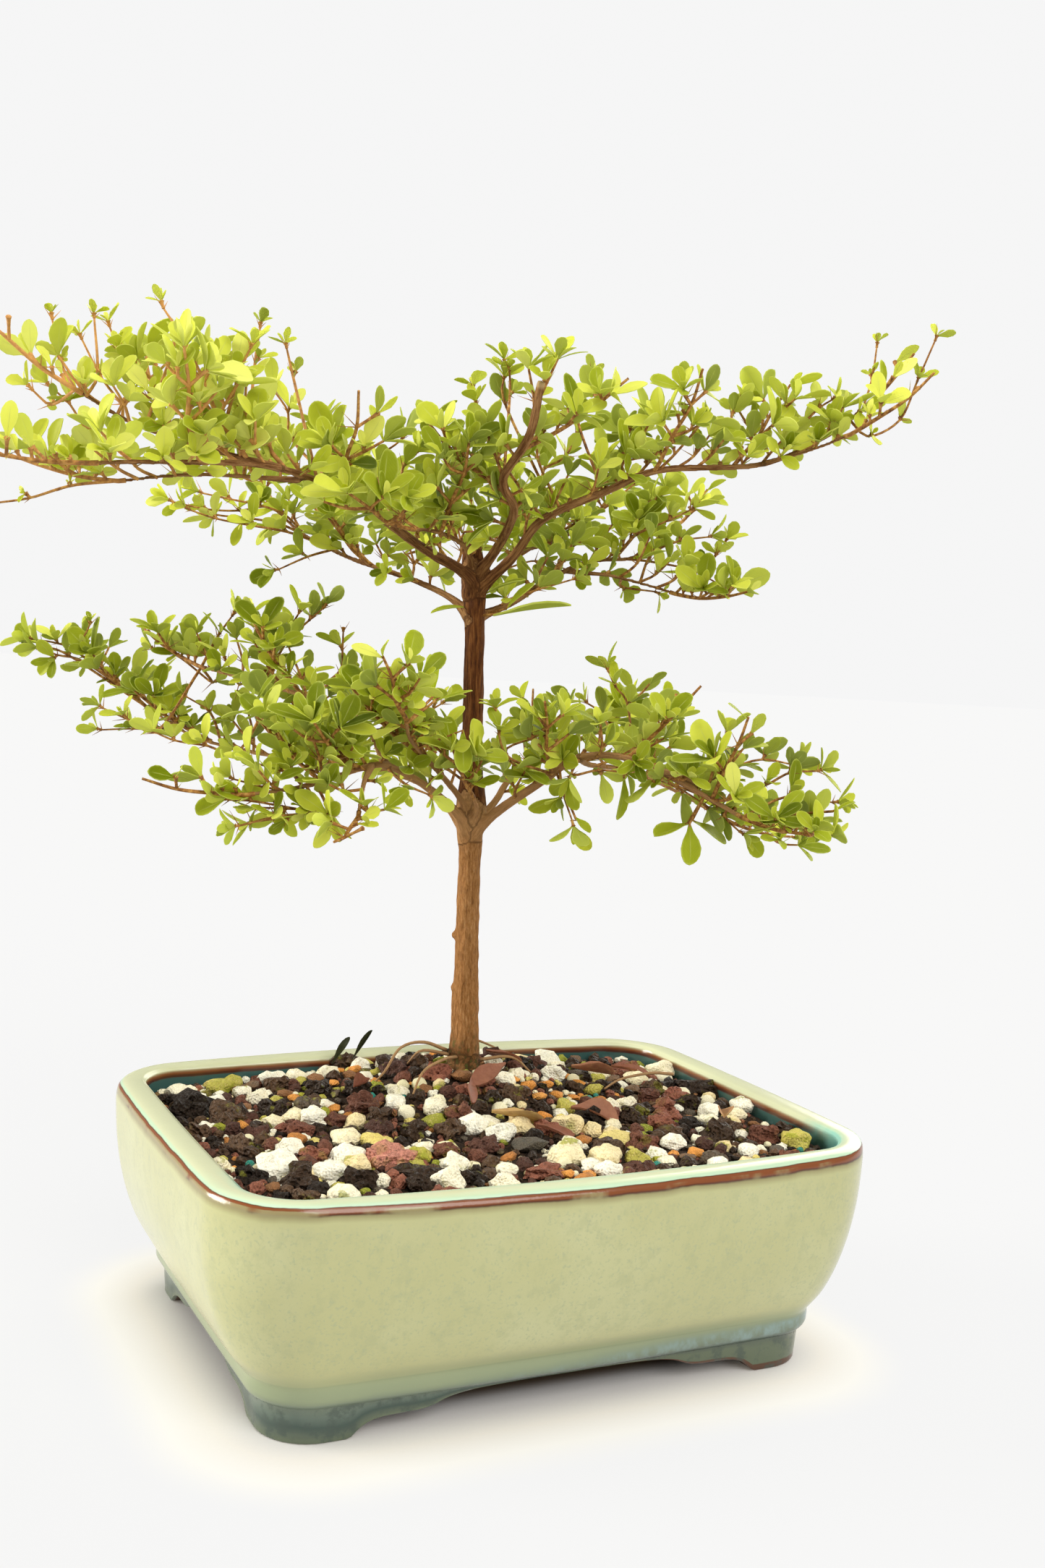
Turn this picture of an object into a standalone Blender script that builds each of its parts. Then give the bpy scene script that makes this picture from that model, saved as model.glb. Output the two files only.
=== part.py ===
"""A black olive bonsai in its glazed pot, in metres, +Z up.

The pot stands on four corner feet. The tree grows a little behind the middle of the pot,
with a bare trunk and two tiers of limbs, and its leaves sit in rosettes on short spurs.
Sizes are written in millimetres from the centre of the pot and become metres when a mesh
is made. The origin lies on the table, under the middle of the whole object's box.
"""
import math
import random

import bmesh
import bpy
from mathutils import Matrix, Quaternion, Vector
from mathutils.bvhtree import BVHTree

MM = 0.001
UP = Vector((0, 0, 1))
GAP = 0.35
POT_CENTRE = Vector((18.2, -43.0, 0.0))

# Pot
POT_LENGTH = 203.0
POT_DEPTH = 159.0
LONG_SIDE_BOW = 9.2
SHORT_SIDE_BOW = 1.9
FOOT_INSET = 18.8
UNDERSIDE = 9.6
FLOOR = 14.0
CORNER_STEPS = 3
LONG_SIDE_STEPS = 5
SHORT_SIDE_STEPS = 2
DRAIN_RADIUS = 7.0
DRAIN_OFFSET = 42.0
MESH_SIDE = 22.0
MESH_THICK = 1.0
MESH_HOLE = 4.4
MESH_PITCH = 6.4

# Each ring of the pot wall is (inset from the rim's outline, height, corner radius).
INNER_WALL = [(24.0, FLOOR, 9.0), (20.0, 15.5, 11.0), (16.5, 21.0, 12.5), (13.0, 34.0, 13.0),
              (11.0, 50.0, 13.5)]
RIM = [(10.2, 64.0, 13.5), (9.2, 66.2, 14.0), (7.4, 66.9, 15.5), (3.2, 67.0, 18.5),
       (0.9, 66.0, 20.5), (0.0, 63.8, 21.4)]
OUTER_WALL = [(0.0, 59.0, 21.4), (0.8, 49.0, 21.0), (2.6, 39.0, 20.4), (5.6, 29.5, 19.2),
              (9.4, 22.0, 17.6), (13.7, 16.8, 15.8), (14.5, 15.4, 15.4), (14.8, 11.6, 15.2)]
FOOT_RING = [(17.2, 9.4, 14.6), (17.9, 2.0, 14.2), (FOOT_INSET, 0.0, 13.8), (27.0, 0.0, 7.0),
             (26.4, UNDERSIDE, 7.0)]
# Half of the arch between two feet, as (distance from its middle, height).
LONG_ARCH = [(62.3, -2.0), (61.4, 0.9), (58.6, 3.2), (54.0, 4.6), (43.5, 5.0), (39.5, 5.6),
             (34.5, 7.4), (27.0, 8.4), (12.0, 8.8)]
SHORT_ARCH = [(40.3, -2.0), (39.4, 0.9), (36.6, 3.2), (32.0, 4.6), (25.0, 5.0), (21.5, 5.6),
              (17.5, 7.4), (12.0, 8.4), (5.0, 8.8)]

# Soil
SOIL_EDGE = 59.6
SOIL_MOUND = 9.4
MOUND_WIDTH = 37.0
STONES = 40
STONE_RADII = (3.2, 5.0)
STONE_SINK = 0.12

# Trunk: it leans to a bearing, and its sections are (height, lean, radius).
TRUNK_FOOT = Vector((8.0, 34.0, 69.0))
LEAN_BEARING = 154.0
TRUNK = [(-26.0, 0.0, 4.4), (-12.0, 0.0, 5.6), (-3.0, 0.0, 6.6), (1.5, 0.0, 6.0), (6.0, 0.0, 5.0),
         (18.0, 0.3, 4.4), (43.0, 1.0, 3.8), (68.0, 1.6, 3.6), (79.0, 1.9, 4.4), (84.0, 2.0, 5.0),
         (90.0, 2.2, 4.6), (97.0, 2.4, 3.6), (113.0, 3.0, 3.3), (143.0, 4.0, 3.2),
         (152.0, 4.6, 3.7), (160.0, 5.2, 4.1), (166.0, 5.8, 3.4), (171.0, 6.2, 2.4)]
BURIED_SECTIONS = 7
# Surface roots: (bearing, length, radius).
ROOTS = [(150, 27, 1.2), (184, 19, 1.4), (232, 14, 1.7), (284, 17, 1.5), (338, 24, 1.2),
         (36, 18, 1.3), (95, 15, 1.4)]
# Healed knots on the bark: (height, bearing, radius).
KNOTS = [(27, 170, 1.7), (44, 150, 1.6), (45, 330, 1.5), (60, 250, 1.3)]

# Limbs: name, radius at its start and tip, stations, side stems. A station is (reach from
# the trunk's foot, bearing, height). A side stem is (share of the limb's length, turn to the
# left, climb, length), with angles in degrees. The last number is the length of the stem
# that carries on from the tip, or 0 where the tip was cut.
LIMBS = [
    ("upper_left", 2.9, 1.0,
     [(0, 200, 154), (10, 196, 160), (27, 197, 166), (56, 202, 176), (93, 206, 182),
      (128, 205, 179), (150, 203, 176)],
     [(0.30, -50, 38, 32), (0.44, 48, 34, 34), (0.60, -46, 44, 36), (0.80, 40, 40, 32)], 30),
    ("upper_left_rising", 1.5, 0.9,
     [(93, 206, 182), (110, 199, 186), (124, 193, 191), (140, 192, 198)],
     [(0.16, 46, 40, 32), (0.50, -45, 40, 30)], 30),
    ("upper_left_low", 1.3, 0.9,
     [(84, 205, 180), (104, 192, 180), (122, 186, 177)],
     [], 34),
    ("upper_right", 2.8, 1.0,
     [(0, 290, 154), (9, 292, 166), (21, 293, 178), (40, 304, 187), (55, 310, 194),
      (84, 321, 198), (104, 326, 209), (113, 328, 217)],
     [(0.34, 55, 40, 34), (0.50, -48, 36, 34), (0.68, 44, 42, 32)], 24),
    ("upper_right_fork", 1.2, 0.9,
     [(84, 321, 198), (100, 320, 203), (110, 319, 207)],
     [], 30),
    ("cut_leader", 2.6, 1.9,
     [(0, 250, 158), (12, 252, 168), (28, 255, 174), (38, 254, 179), (45, 248, 186),
      (58, 254, 197), (66, 255, 211)],
     [(0.56, -70, 26, 30), (0.76, 80, 24, 36)], 0),
    ("upper_front", 1.9, 0.9,
     [(0, 215, 160), (16, 214, 168), (32, 214, 171), (50, 217, 170)],
     [(0.62, 55, 30, 34)], 32),
    ("upper_back_left", 2.0, 0.9,
     [(0, 140, 146), (12, 132, 152), (28, 124, 158), (60, 120, 166), (84, 119, 175),
      (98, 118, 185)],
     [(0.46, 50, 36, 32), (0.72, -48, 40, 32)], 32),
    ("upper_right_back", 2.1, 0.9,
     [(0, 30, 146), (13, 27, 153), (28, 23, 161), (46, 19, 169), (64, 15, 172), (80, 16, 182)],
     [(0.42, 50, 38, 32), (0.70, -40, 45, 28)], 26),
    ("upper_right_low", 1.3, 0.9,
     [(37, 21, 165), (46, 4, 164), (58, 355, 161), (64, 351, 159)],
     [], 26),
    ("upper_back_right", 2.0, 0.9,
     [(0, 60, 156), (12, 55, 163), (28, 48, 170), (64, 43, 178), (86, 43, 186)],
     [(0.55, 110, 36, 32)], 32),
    ("upper_back", 2.1, 0.9,
     [(0, 95, 154), (13, 95, 161), (36, 94, 168), (70, 90, 174), (98, 88, 180)],
     [(0.42, 50, 40, 32), (0.72, -46, 36, 32)], 34),
    ("lower_left", 2.7, 1.0,
     [(0, 200, 76), (9, 201, 84), (24, 203, 93), (40, 205, 99), (50, 205, 100), (71, 201, 94),
      (88, 197, 91)],
     [(0.61, 31, 8, 30), (0.76, -42, 30, 28)], 30),
    ("lower_left_near", 1.6, 1.0,
     [(50, 205, 100), (61, 212, 95), (71, 217, 87)],
     [], 22),
    ("lower_left_rising", 1.8, 0.9,
     [(43, 205, 99), (43, 190, 111), (50, 172, 117), (76, 156, 123), (92, 151, 126)],
     [(0.52, 40, 46, 28)], 28),
    ("lower_back_left", 2.2, 0.9,
     [(0, 150, 78), (10, 150, 86), (22, 150, 94), (44, 147, 97), (72, 141, 98), (100, 139, 102),
      (120, 138, 111)],
     [(0.50, -44, 34, 30), (0.78, 42, 24, 28)], 34),
    ("lower_right", 2.7, 1.2,
     [(0, 296, 76), (9, 297, 86), (24, 298, 96), (38, 299, 105), (55, 300, 106), (74, 303, 99),
      (90, 306, 91)],
     [(0.36, -60, 30, 30), (0.62, 52, 34, 30), (0.90, -42, 50, 28)], 28),
    ("lower_right_stub", 1.5, 1.2,
     [(66, 301, 103), (76, 305, 100), (86, 309, 99)],
     [], 0),
    ("lower_right_back", 1.8, 0.9,
     [(38, 299, 105), (36, 325, 102), (50, 346, 100), (70, 352, 93), (84, 352, 86)],
     [(0.60, 48, 34, 28)], 30),
    ("lower_back_right", 2.2, 0.9,
     [(0, 31, 78), (10, 33, 87), (22, 36, 95), (46, 37, 102), (76, 34, 109), (98, 30, 113)],
     [(0.50, 46, 36, 28), (0.76, -44, 30, 28)], 30),
    ("lower_front", 1.5, 1.0,
     [(0, 243, 80), (8, 243, 86), (18, 240, 91)],
     [], 26),
    ("lower_front_left", 1.9, 1.0,
     [(0, 200, 80), (8, 206, 88), (20, 212, 96), (45, 218, 108), (58, 223, 115)],
     [(0.60, -46, 30, 28)], 28),
    ("lower_back", 1.9, 0.9,
     [(0, 92, 78), (10, 93, 86), (28, 94, 95), (54, 92, 101), (74, 90, 105)],
     [(0.58, 48, 34, 28)], 30),
]

FINE_LIMB = 1.7

# Leafy stems. The halves are half the side of a square section.
STEM_HALF = 0.7
STEM_NODES = 2
NODE_HALF = 0.8
SPUR_HALF = 0.62
SPUR_LENGTH = 6.5
KNOB_HALF = 0.95
KNOB_HEIGHT = 1.3
THORN_LENGTH = 6.5
LEAF_LENGTHS = (9.5, 13.5)
LEAF_WIDTH = 0.50
LEAF_THICK = 0.7
LEAF_TILTS = (46, 64)
# Sections of a leaf past its base: (share of the length, share of the width, rise).
LEAF_SECTIONS = [(0.56, 1.0, 0.04), (0.97, 0.52, 0.0)]
FEELER_START = 1.8

COLOURS = {
    "glaze": ((0.52, 0.60, 0.42), 0.22),
    "soil": ((0.085, 0.055, 0.04), 0.9),
    "bark": ((0.24, 0.145, 0.075), 0.85),
    "leaf": ((0.20, 0.32, 0.06), 0.45),
    "drain mesh": ((0.02, 0.03, 0.02), 0.6),
}


def clear_scene():
    for obj in list(bpy.data.objects):
        bpy.data.objects.remove(obj, do_unlink=True)


def new_collection(name):
    collection = bpy.data.collections.new(name)
    bpy.context.scene.collection.children.link(collection)
    return collection


def material(name):
    colour, roughness = COLOURS[name]
    made = bpy.data.materials.new(name)
    made.use_nodes = True
    shader = made.node_tree.nodes["Principled BSDF"]
    shader.inputs["Base Color"].default_value = (*colour, 1)
    shader.inputs["Roughness"].default_value = roughness
    shader.inputs["Metallic"].default_value = 0.0
    return made


def placed(point):
    """A point in millimetres from the pot's centre, in the part's frame in metres."""
    return (point + POT_CENTRE) * MM


def to_object(bm, name, collection):
    bmesh.ops.recalc_face_normals(bm, faces=bm.faces)
    bm.transform(Matrix.Scale(MM, 4) @ Matrix.Translation(POT_CENTRE))
    mesh = bpy.data.meshes.new(name)
    bm.to_mesh(mesh)
    bm.free()
    obj = bpy.data.objects.new(name, mesh)
    collection.objects.link(obj)
    return obj


def curve_to_object(curve, name, collection, turn=None):
    """Turns a curve into a mesh object, with its caps welded to its sides."""
    holder = bpy.data.objects.new(name, curve)
    mesh = bpy.data.meshes.new_from_object(holder)
    bpy.data.objects.remove(holder)
    bpy.data.curves.remove(curve)
    bm = bmesh.new()
    bm.from_mesh(mesh)
    if turn:
        bm.transform(turn)
    bmesh.ops.remove_doubles(bm, verts=bm.verts, dist=0.000001)
    bmesh.ops.recalc_face_normals(bm, faces=bm.faces)
    bm.to_mesh(mesh)
    bm.free()
    obj = bpy.data.objects.new(name, mesh)
    collection.objects.link(obj)
    return obj


def tube(name, points, radii, collection, resolution=1):
    """A tapering tube with 4 + 2 * resolution sides and closed ends."""
    curve = bpy.data.curves.new(name, "CURVE")
    curve.dimensions = "3D"
    curve.bevel_depth = MM
    curve.bevel_resolution = resolution
    curve.use_fill_caps = True
    spline = curve.splines.new("POLY")
    spline.points.add(len(points) - 1)
    for knot, point, radius in zip(spline.points, points, radii):
        knot.co = (*placed(point), 1)
        knot.radius = radius
    return curve_to_object(curve, name, collection)


def prism(name, points, half_length, collection, turn):
    """A flat outline in XZ drawn out along Y by half_length each way, then turned about Z."""
    curve = bpy.data.curves.new(name, "CURVE")
    curve.dimensions = "2D"
    curve.fill_mode = "BOTH"
    curve.extrude = half_length * MM
    spline = curve.splines.new("POLY")
    spline.use_cyclic_u = True
    spline.points.add(len(points) - 1)
    for knot, (across, height) in zip(spline.points, points):
        knot.co = (across * MM, height * MM, 0, 1)
    stand = Matrix.Rotation(turn, 4, "Z") @ Matrix.Rotation(math.pi / 2, 4, "X")
    return curve_to_object(curve, name, collection, Matrix.Translation(POT_CENTRE * MM) @ stand)


def join(base, pieces, solver="EXACT"):
    """Fuses the pieces into base with one Boolean union, and removes them."""
    group = new_collection(base.name + " pieces")
    for piece in pieces:
        group.objects.link(piece)
    boolean(base, "UNION", group, solver)
    for piece in pieces:
        bpy.data.objects.remove(piece)
    bpy.data.collections.remove(group)


def boolean(base, operation, group, solver="EXACT"):
    modifier = base.modifiers.new("boolean", "BOOLEAN")
    modifier.operation = operation
    modifier.operand_type = "COLLECTION"
    modifier.collection = group
    modifier.solver = solver
    graph = bpy.context.evaluated_depsgraph_get()
    result = bpy.data.meshes.new_from_object(base.evaluated_get(graph))
    base.modifiers.clear()
    base.data = result


def cut(base, cutters, solver="EXACT"):
    """Cuts the cutters out of base. They stay in the cutter collection as wires."""
    group = bpy.data.collections.new(base.name + " cutters")
    CUTTERS.children.link(group)
    for cutter in cutters:
        cutter.hide_render = True
        cutter.display_type = "WIRE"
        CUTTERS.objects.unlink(cutter)
        group.objects.link(cutter)
    boolean(base, "DIFFERENCE", group, solver)


def keep_largest(obj):
    """Drops loose scraps that a cut left, so that the object is one body."""
    bm = bmesh.new()
    bm.from_mesh(obj.data)
    left = set(bm.verts)
    bodies = []
    while left:
        seed = left.pop()
        body = {seed}
        edge_of_body = [seed]
        while edge_of_body:
            vert = edge_of_body.pop()
            for edge in vert.link_edges:
                other = edge.other_vert(vert)
                if other not in body:
                    body.add(other)
                    edge_of_body.append(other)
        left -= body
        bodies.append(body)
    bodies.sort(key=len)
    for body in bodies[:-1]:
        bmesh.ops.delete(bm, geom=list(body), context="VERTS")
    bm.to_mesh(obj.data)
    bm.free()


def ring(inset, height, corner):
    """The pot's rounded outline at one height, its long sides bowed out above the feet."""
    bow = 1 - inset / FOOT_INSET if inset < FOOT_INSET else 0
    long_bow = LONG_SIDE_BOW * bow
    short_bow = SHORT_SIDE_BOW * bow
    half_x = POT_LENGTH / 2 - inset - short_bow
    half_y = POT_DEPTH / 2 - inset - long_bow
    points = []
    for quarter in range(4):
        turn = math.radians(90 * quarter)
        sign_x = 1 if quarter in (0, 3) else -1
        sign_y = 1 if quarter in (0, 1) else -1
        centre = Vector((sign_x * (half_x - corner), sign_y * (half_y - corner)))
        for step in range(CORNER_STEPS + 1):
            angle = turn + math.pi / 2 * step / CORNER_STEPS
            points.append(centre + corner * Vector((math.cos(angle), math.sin(angle))))
        steps = LONG_SIDE_STEPS if quarter in (0, 2) else SHORT_SIDE_STEPS
        start = points[-1]
        end = Vector((-start.x, start.y)) if quarter in (0, 2) else Vector((start.x, -start.y))
        for step in range(1, steps):
            points.append(start.lerp(end, step / steps))
    out = []
    for point in points:
        lift_y = long_bow * max(0, 1 - (point.x / half_x) ** 2) * abs(point.y) / half_y
        lift_x = short_bow * max(0, 1 - (point.y / half_y) ** 2) * abs(point.x) / half_x
        out.append(Vector((point.x + math.copysign(lift_x, point.x),
                           point.y + math.copysign(lift_y, point.y), height)))
    return out


def loft(bm, rings):
    """Joins rings of equal count side by side and returns their vertices."""
    rows = [[bm.verts.new(point) for point in points] for points in rings]
    for low, high in zip(rows, rows[1:]):
        for i in range(len(low)):
            j = (i + 1) % len(low)
            bm.faces.new((low[i], low[j], high[j], high[i]))
    return rows


def arch_outline(half):
    return half + [(-across, height) for across, height in reversed(half)]


def make_pot():
    bm = bmesh.new()
    rows = loft(bm, [ring(*level) for level in INNER_WALL + RIM + OUTER_WALL + FOOT_RING])
    bm.faces.new(rows[0])
    bm.faces.new(rows[-1])
    pot = to_object(bm, "pot", PARTS)
    drains = []
    for side in (-1, 1):
        bm = bmesh.new()
        bmesh.ops.create_cone(bm, cap_ends=True, segments=16, radius1=DRAIN_RADIUS,
                              radius2=DRAIN_RADIUS, depth=20,
                              matrix=Matrix.Translation((side * DRAIN_OFFSET, 0, FLOOR)))
        drains.append(to_object(bm, "drain cutter", CUTTERS))
    arches = [
        prism("front and back arch", arch_outline(LONG_ARCH), POT_DEPTH, CUTTERS, 0),
        prism("side arch", arch_outline(SHORT_ARCH), POT_LENGTH, CUTTERS, math.pi / 2),
    ]
    cut(pot, arches + drains)
    return pot


def make_drain_mesh(name, side):
    """A square of plastic mesh over one drainage hole."""
    base = FLOOR + GAP
    centre = Vector((side * DRAIN_OFFSET, 0, base + MESH_THICK / 2))
    bm = bmesh.new()
    bmesh.ops.create_cube(bm, size=1, matrix=Matrix.Translation(centre)
                          @ Matrix.Diagonal((MESH_SIDE, MESH_SIDE, MESH_THICK, 1)))
    screen = to_object(bm, name, PARTS)
    holes = []
    for column in (-1, 0, 1):
        for row in (-1, 0, 1):
            bm = bmesh.new()
            place = centre + Vector((column, row, 0)) * MESH_PITCH
            bmesh.ops.create_cube(bm, size=1, matrix=Matrix.Translation(place)
                                  @ Matrix.Diagonal((MESH_HOLE, MESH_HOLE, 4 * MESH_THICK, 1)))
            holes.append(to_object(bm, name + " hole", CUTTERS))
    cut(screen, holes)
    return screen


def soil_height(x, y):
    """The soil is banked up round the trunk and lies a few millimetres under the rim."""
    away = Vector((x, y)) - TRUNK_FOOT.xy
    mound = SOIL_MOUND * math.exp(-(away.length / MOUND_WIDTH) ** 2)
    ripple = 0.5 * math.sin(0.19 * x + 1.1) * math.cos(0.23 * y - 0.4)
    return SOIL_EDGE + mound + ripple


def edge_distance(x, y, outline):
    """How far a point lies inside a convex outline."""
    nearest = math.inf
    for a, b in zip(outline, outline[1:] + outline[:1]):
        along = (b - a).xy
        across = along.x * (y - a.y) - along.y * (x - a.x)
        nearest = min(nearest, across / along.length)
    return nearest


def root_path(bearing, length):
    """A root leaves the trunk's base, follows the soil and dips under it at its end."""
    points = []
    steps = 4
    for step in range(steps + 1):
        share = step / steps
        reach = 2 + (length - 2) * share
        angle = math.radians(bearing + 9 * math.sin(5 * share))
        x = TRUNK_FOOT.x + reach * math.cos(angle)
        y = TRUNK_FOOT.y + reach * math.sin(angle)
        points.append(Vector((x, y, soil_height(x, y) + 0.8 - 3.0 * share ** 3)))
    return points


def root_radii(radius, grow=0.0):
    return [radius * share + grow for share in (1.5, 1.1, 1.0, 0.8, 0.6)]


def trunk_point(height, lean):
    angle = math.radians(LEAN_BEARING)
    return TRUNK_FOOT + Vector((lean * math.cos(angle), lean * math.sin(angle), height))


def trunk_tube(name, sections, collection, grow=0.0):
    points = [trunk_point(height, lean) for height, lean, radius in sections]
    points[0].z -= grow
    return tube(name, points, [radius + grow for _, _, radius in sections], collection, 2)


def stone(place, radius, rng):
    """An angular stone, flattened and turned at random."""
    bm = bmesh.new()
    bmesh.ops.create_icosphere(bm, subdivisions=1, radius=1)
    for vert in bm.verts:
        vert.co *= rng.uniform(0.86, 1.12)
    shape = Matrix.Diagonal((radius, radius * rng.uniform(0.7, 0.95), radius * 0.72, 1))
    turn = Matrix.Rotation(rng.uniform(0, math.tau), 4, "Z") @ Matrix.Rotation(
        rng.uniform(-0.35, 0.35), 4, "X")
    bm.transform(Matrix.Translation(place) @ turn @ shape)
    return to_object(bm, "stone", PARTS)


def stone_places(outline, roots):
    """Places for the stones, apart from each other, from the wall, trunk and roots."""
    rng = random.Random(11)
    chosen = []
    tries = 0
    while len(chosen) < STONES and tries < 20000:
        tries += 1
        radius = rng.uniform(*STONE_RADII)
        x = rng.uniform(-POT_LENGTH / 2, POT_LENGTH / 2)
        y = rng.uniform(-POT_DEPTH / 2, POT_DEPTH / 2)
        spot = Vector((x, y))
        if edge_distance(x, y, outline) < radius * 1.12 + 0.5:
            continue
        if (spot - TRUNK_FOOT.xy).length < radius + 10:
            continue
        if any((spot - place.xy).length < 0.92 * (radius + other) for place, other in chosen):
            continue
        if any((spot - point.xy).length < radius + 4.5 for root in roots for point in root):
            continue
        place = Vector((x, y, soil_height(x, y) + STONE_SINK * radius))
        chosen.append((place, radius))
    return chosen


def make_soil():
    fill = []
    for inset, height, corner in INNER_WALL:
        fill.append(ring(inset + 2 * GAP, height + GAP, corner - GAP))
    edge = ring(RIM[0][0] + 3 * GAP, SOIL_EDGE, RIM[0][2] - GAP)
    edge = [Vector((p.x, p.y, soil_height(p.x, p.y))) for p in edge]
    rings = fill + [edge]
    for share in (0.8, 0.58, 0.38, 0.2):
        inner = [TRUNK_FOOT.lerp(point, share) for point in edge]
        rings.append([Vector((p.x, p.y, soil_height(p.x, p.y))) for p in inner])
    bm = bmesh.new()
    rows = loft(bm, rings)
    bm.faces.new(rows[0])
    peak = bm.verts.new((TRUNK_FOOT.x, TRUNK_FOOT.y, soil_height(*TRUNK_FOOT.xy)))
    for a, b in zip(rows[-1], rows[-1][1:] + rows[-1][:1]):
        bm.faces.new((a, b, peak))
    soil = to_object(bm, "soil", PARTS)
    roots = [root_path(bearing, length) for bearing, length, _ in ROOTS]
    rng = random.Random(12)
    stones = [stone(place, radius, rng) for place, radius in stone_places(edge, roots)]
    join(soil, stones)
    cutters = [trunk_tube("trunk hole", TRUNK[:BURIED_SECTIONS], CUTTERS, GAP + 0.15)]
    for points, (_, _, radius) in zip(roots, ROOTS):
        end = points[-1] + (points[-1] - points[-2]).normalized() * 2 * GAP
        cutters.append(tube("root groove", points[:-1] + [end], root_radii(radius, 0.8),
                            CUTTERS, 0))
    for side in (-1, 1):
        bm = bmesh.new()
        size = MESH_SIDE + 2 * GAP
        bmesh.ops.create_cube(bm, size=1,
                              matrix=Matrix.Translation((side * DRAIN_OFFSET, 0, FLOOR))
                              @ Matrix.Diagonal((size, size, 2 * (MESH_THICK + 2 * GAP), 1)))
        cutters.append(to_object(bm, "drain mesh pocket", CUTTERS))
    cut(soil, cutters)
    keep_largest(soil)
    return soil


def station_point(reach, bearing, height):
    """A point on a limb, from its reach and bearing round the trunk's axis at that height."""
    axis = trunk_point(height, 6.2 * height / 171)
    angle = math.radians(bearing)
    if reach == 0:
        return axis
    return TRUNK_FOOT + Vector((reach * math.cos(angle), reach * math.sin(angle), height))


def limb_radii(points, start, tip):
    lengths = [0]
    for a, b in zip(points, points[1:]):
        lengths.append(lengths[-1] + (b - a).length)
    return [start + (tip - start) * (length / lengths[-1]) ** 0.8 for length in lengths]


def along(points, radii, share):
    """The point, direction and radius at a share of a limb's length."""
    spans = [(b - a).length for a, b in zip(points, points[1:])]
    left = share * sum(spans)
    for i, span in enumerate(spans):
        if left <= span or i == len(spans) - 1:
            part = min(left / span, 1)
            radius = radii[i] + (radii[i + 1] - radii[i]) * part
            return points[i].lerp(points[i + 1], part), (points[i + 1] - points[i]) / span, radius
        left -= span


def aim(direction, turn, climb):
    """A direction turned to the left about +Z, and climbing by an angle."""
    flat = Vector((direction.x, direction.y, 0)).normalized()
    flat.rotate(Quaternion(UP, math.radians(turn)))
    return flat * math.cos(math.radians(climb)) + UP * math.sin(math.radians(climb))


def square_to(axis, across):
    """Two directions square to an axis and each other, the second on the upper side."""
    across = (across - axis * axis.dot(across)).normalized()
    upper = across.cross(axis)
    return across, upper if upper.z > 0 else -upper


def plan_stem(name, start, heading, length):
    """A stem's points, and its rosettes as (centre, axis, across, upper).

    The stem bends at each node, where a spur leaves it to one side and then the other.
    """
    rng = random.Random(name)
    sideways = heading.cross(UP).normalized()
    points = [start]
    rosettes = []
    direction = heading.copy()
    for node in range(STEM_NODES + 1):
        hand = (-1) ** node
        swing = sideways * hand * rng.uniform(0.10, 0.28)
        direction = (direction + swing + UP * rng.uniform(0.04, 0.24)).normalized()
        points.append(points[-1] + direction * length / (STEM_NODES + 1))
        if node < STEM_NODES:
            axis = (sideways * hand + direction * 0.35 + UP * rng.uniform(0.5, 0.9)).normalized()
            centre = points[-1] + axis * SPUR_LENGTH * rng.uniform(0.85, 1.15)
            rosettes.append((centre, axis, *square_to(axis, direction)))
    axis = (direction + UP * 0.5).normalized()
    rosettes.append((points[-1], axis, *square_to(axis, sideways)))
    return points, rosettes


def plan_stems():
    """Every leafy stem of the tree, as (name, heading, points, rosettes)."""
    stems = []
    for name, start_radius, tip_radius, stations, sides, tip_length in LIMBS:
        points = [station_point(*station) for station in stations]
        radii = limb_radii(points, start_radius, tip_radius)
        for number, (share, turn, climb, length) in enumerate(sides):
            point, direction, radius = along(points, radii, share)
            heading = aim(direction, turn, climb)
            lean_in = abs(heading.dot(direction))
            reach = radius + GAP + STEM_HALF * lean_in
            start = point + heading * reach / math.sqrt(1 - lean_in ** 2)
            stem = f"{name}_stem_{number + 1}"
            stems.append((stem, heading, *plan_stem(stem, start, heading, length)))
        if tip_length:
            heading = (points[-1] - points[-2]).normalized()
            stem = f"{name}_tip"
            start = points[-1] + heading * GAP
            stems.append((stem, heading, *plan_stem(stem, start, heading, tip_length)))
    return stems


def plan_leaves(name, number, axis, across, upper):
    """The leaves of one rosette, as (direction, upper side, length)."""
    rng = random.Random(f"{name} {number}")
    leaves = []
    for spoke in (across, upper, -across):
        spoke = spoke.copy()
        spoke.rotate(Quaternion(axis, rng.uniform(-0.3, 0.3)))
        tilt = math.radians(rng.uniform(*LEAF_TILTS))
        direction = axis * math.cos(tilt) + spoke * math.sin(tilt)
        top = (axis - direction * axis.dot(direction)).normalized()
        top.rotate(Quaternion(direction, rng.uniform(-0.35, 0.35)))
        leaves.append((direction, top, rng.uniform(*LEAF_LENGTHS)))
    return leaves


def corners(centre, axes, half_width, half_height):
    across, upper = axes
    return [centre + across * half_width * a + upper * half_height * b
            for a, b in ((-1, -1), (1, -1), (1, 1), (-1, 1))]


def extrude(bm, face, old_axes, centre, axes, half_width, half_height):
    """Extrudes a four-sided face to a new section whose corners keep their sides."""
    middle = face.calc_center_median()
    end = bmesh.ops.extrude_discrete_faces(bm, faces=[face])["faces"][0]
    for vert in end.verts:
        offset = vert.co - middle
        a = math.copysign(half_width, offset.dot(old_axes[0]))
        b = math.copysign(half_height, offset.dot(old_axes[1]))
        vert.co = centre + axes[0] * a + axes[1] * b
    return end


def side_face(end, outward):
    """The face beside an extruded end that looks most nearly outward."""
    faces = [face for edge in end.edges for face in edge.link_faces if face is not end]
    middle = end.calc_center_median()
    return max(faces, key=lambda face: (face.calc_center_median() - middle).dot(outward))


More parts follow.
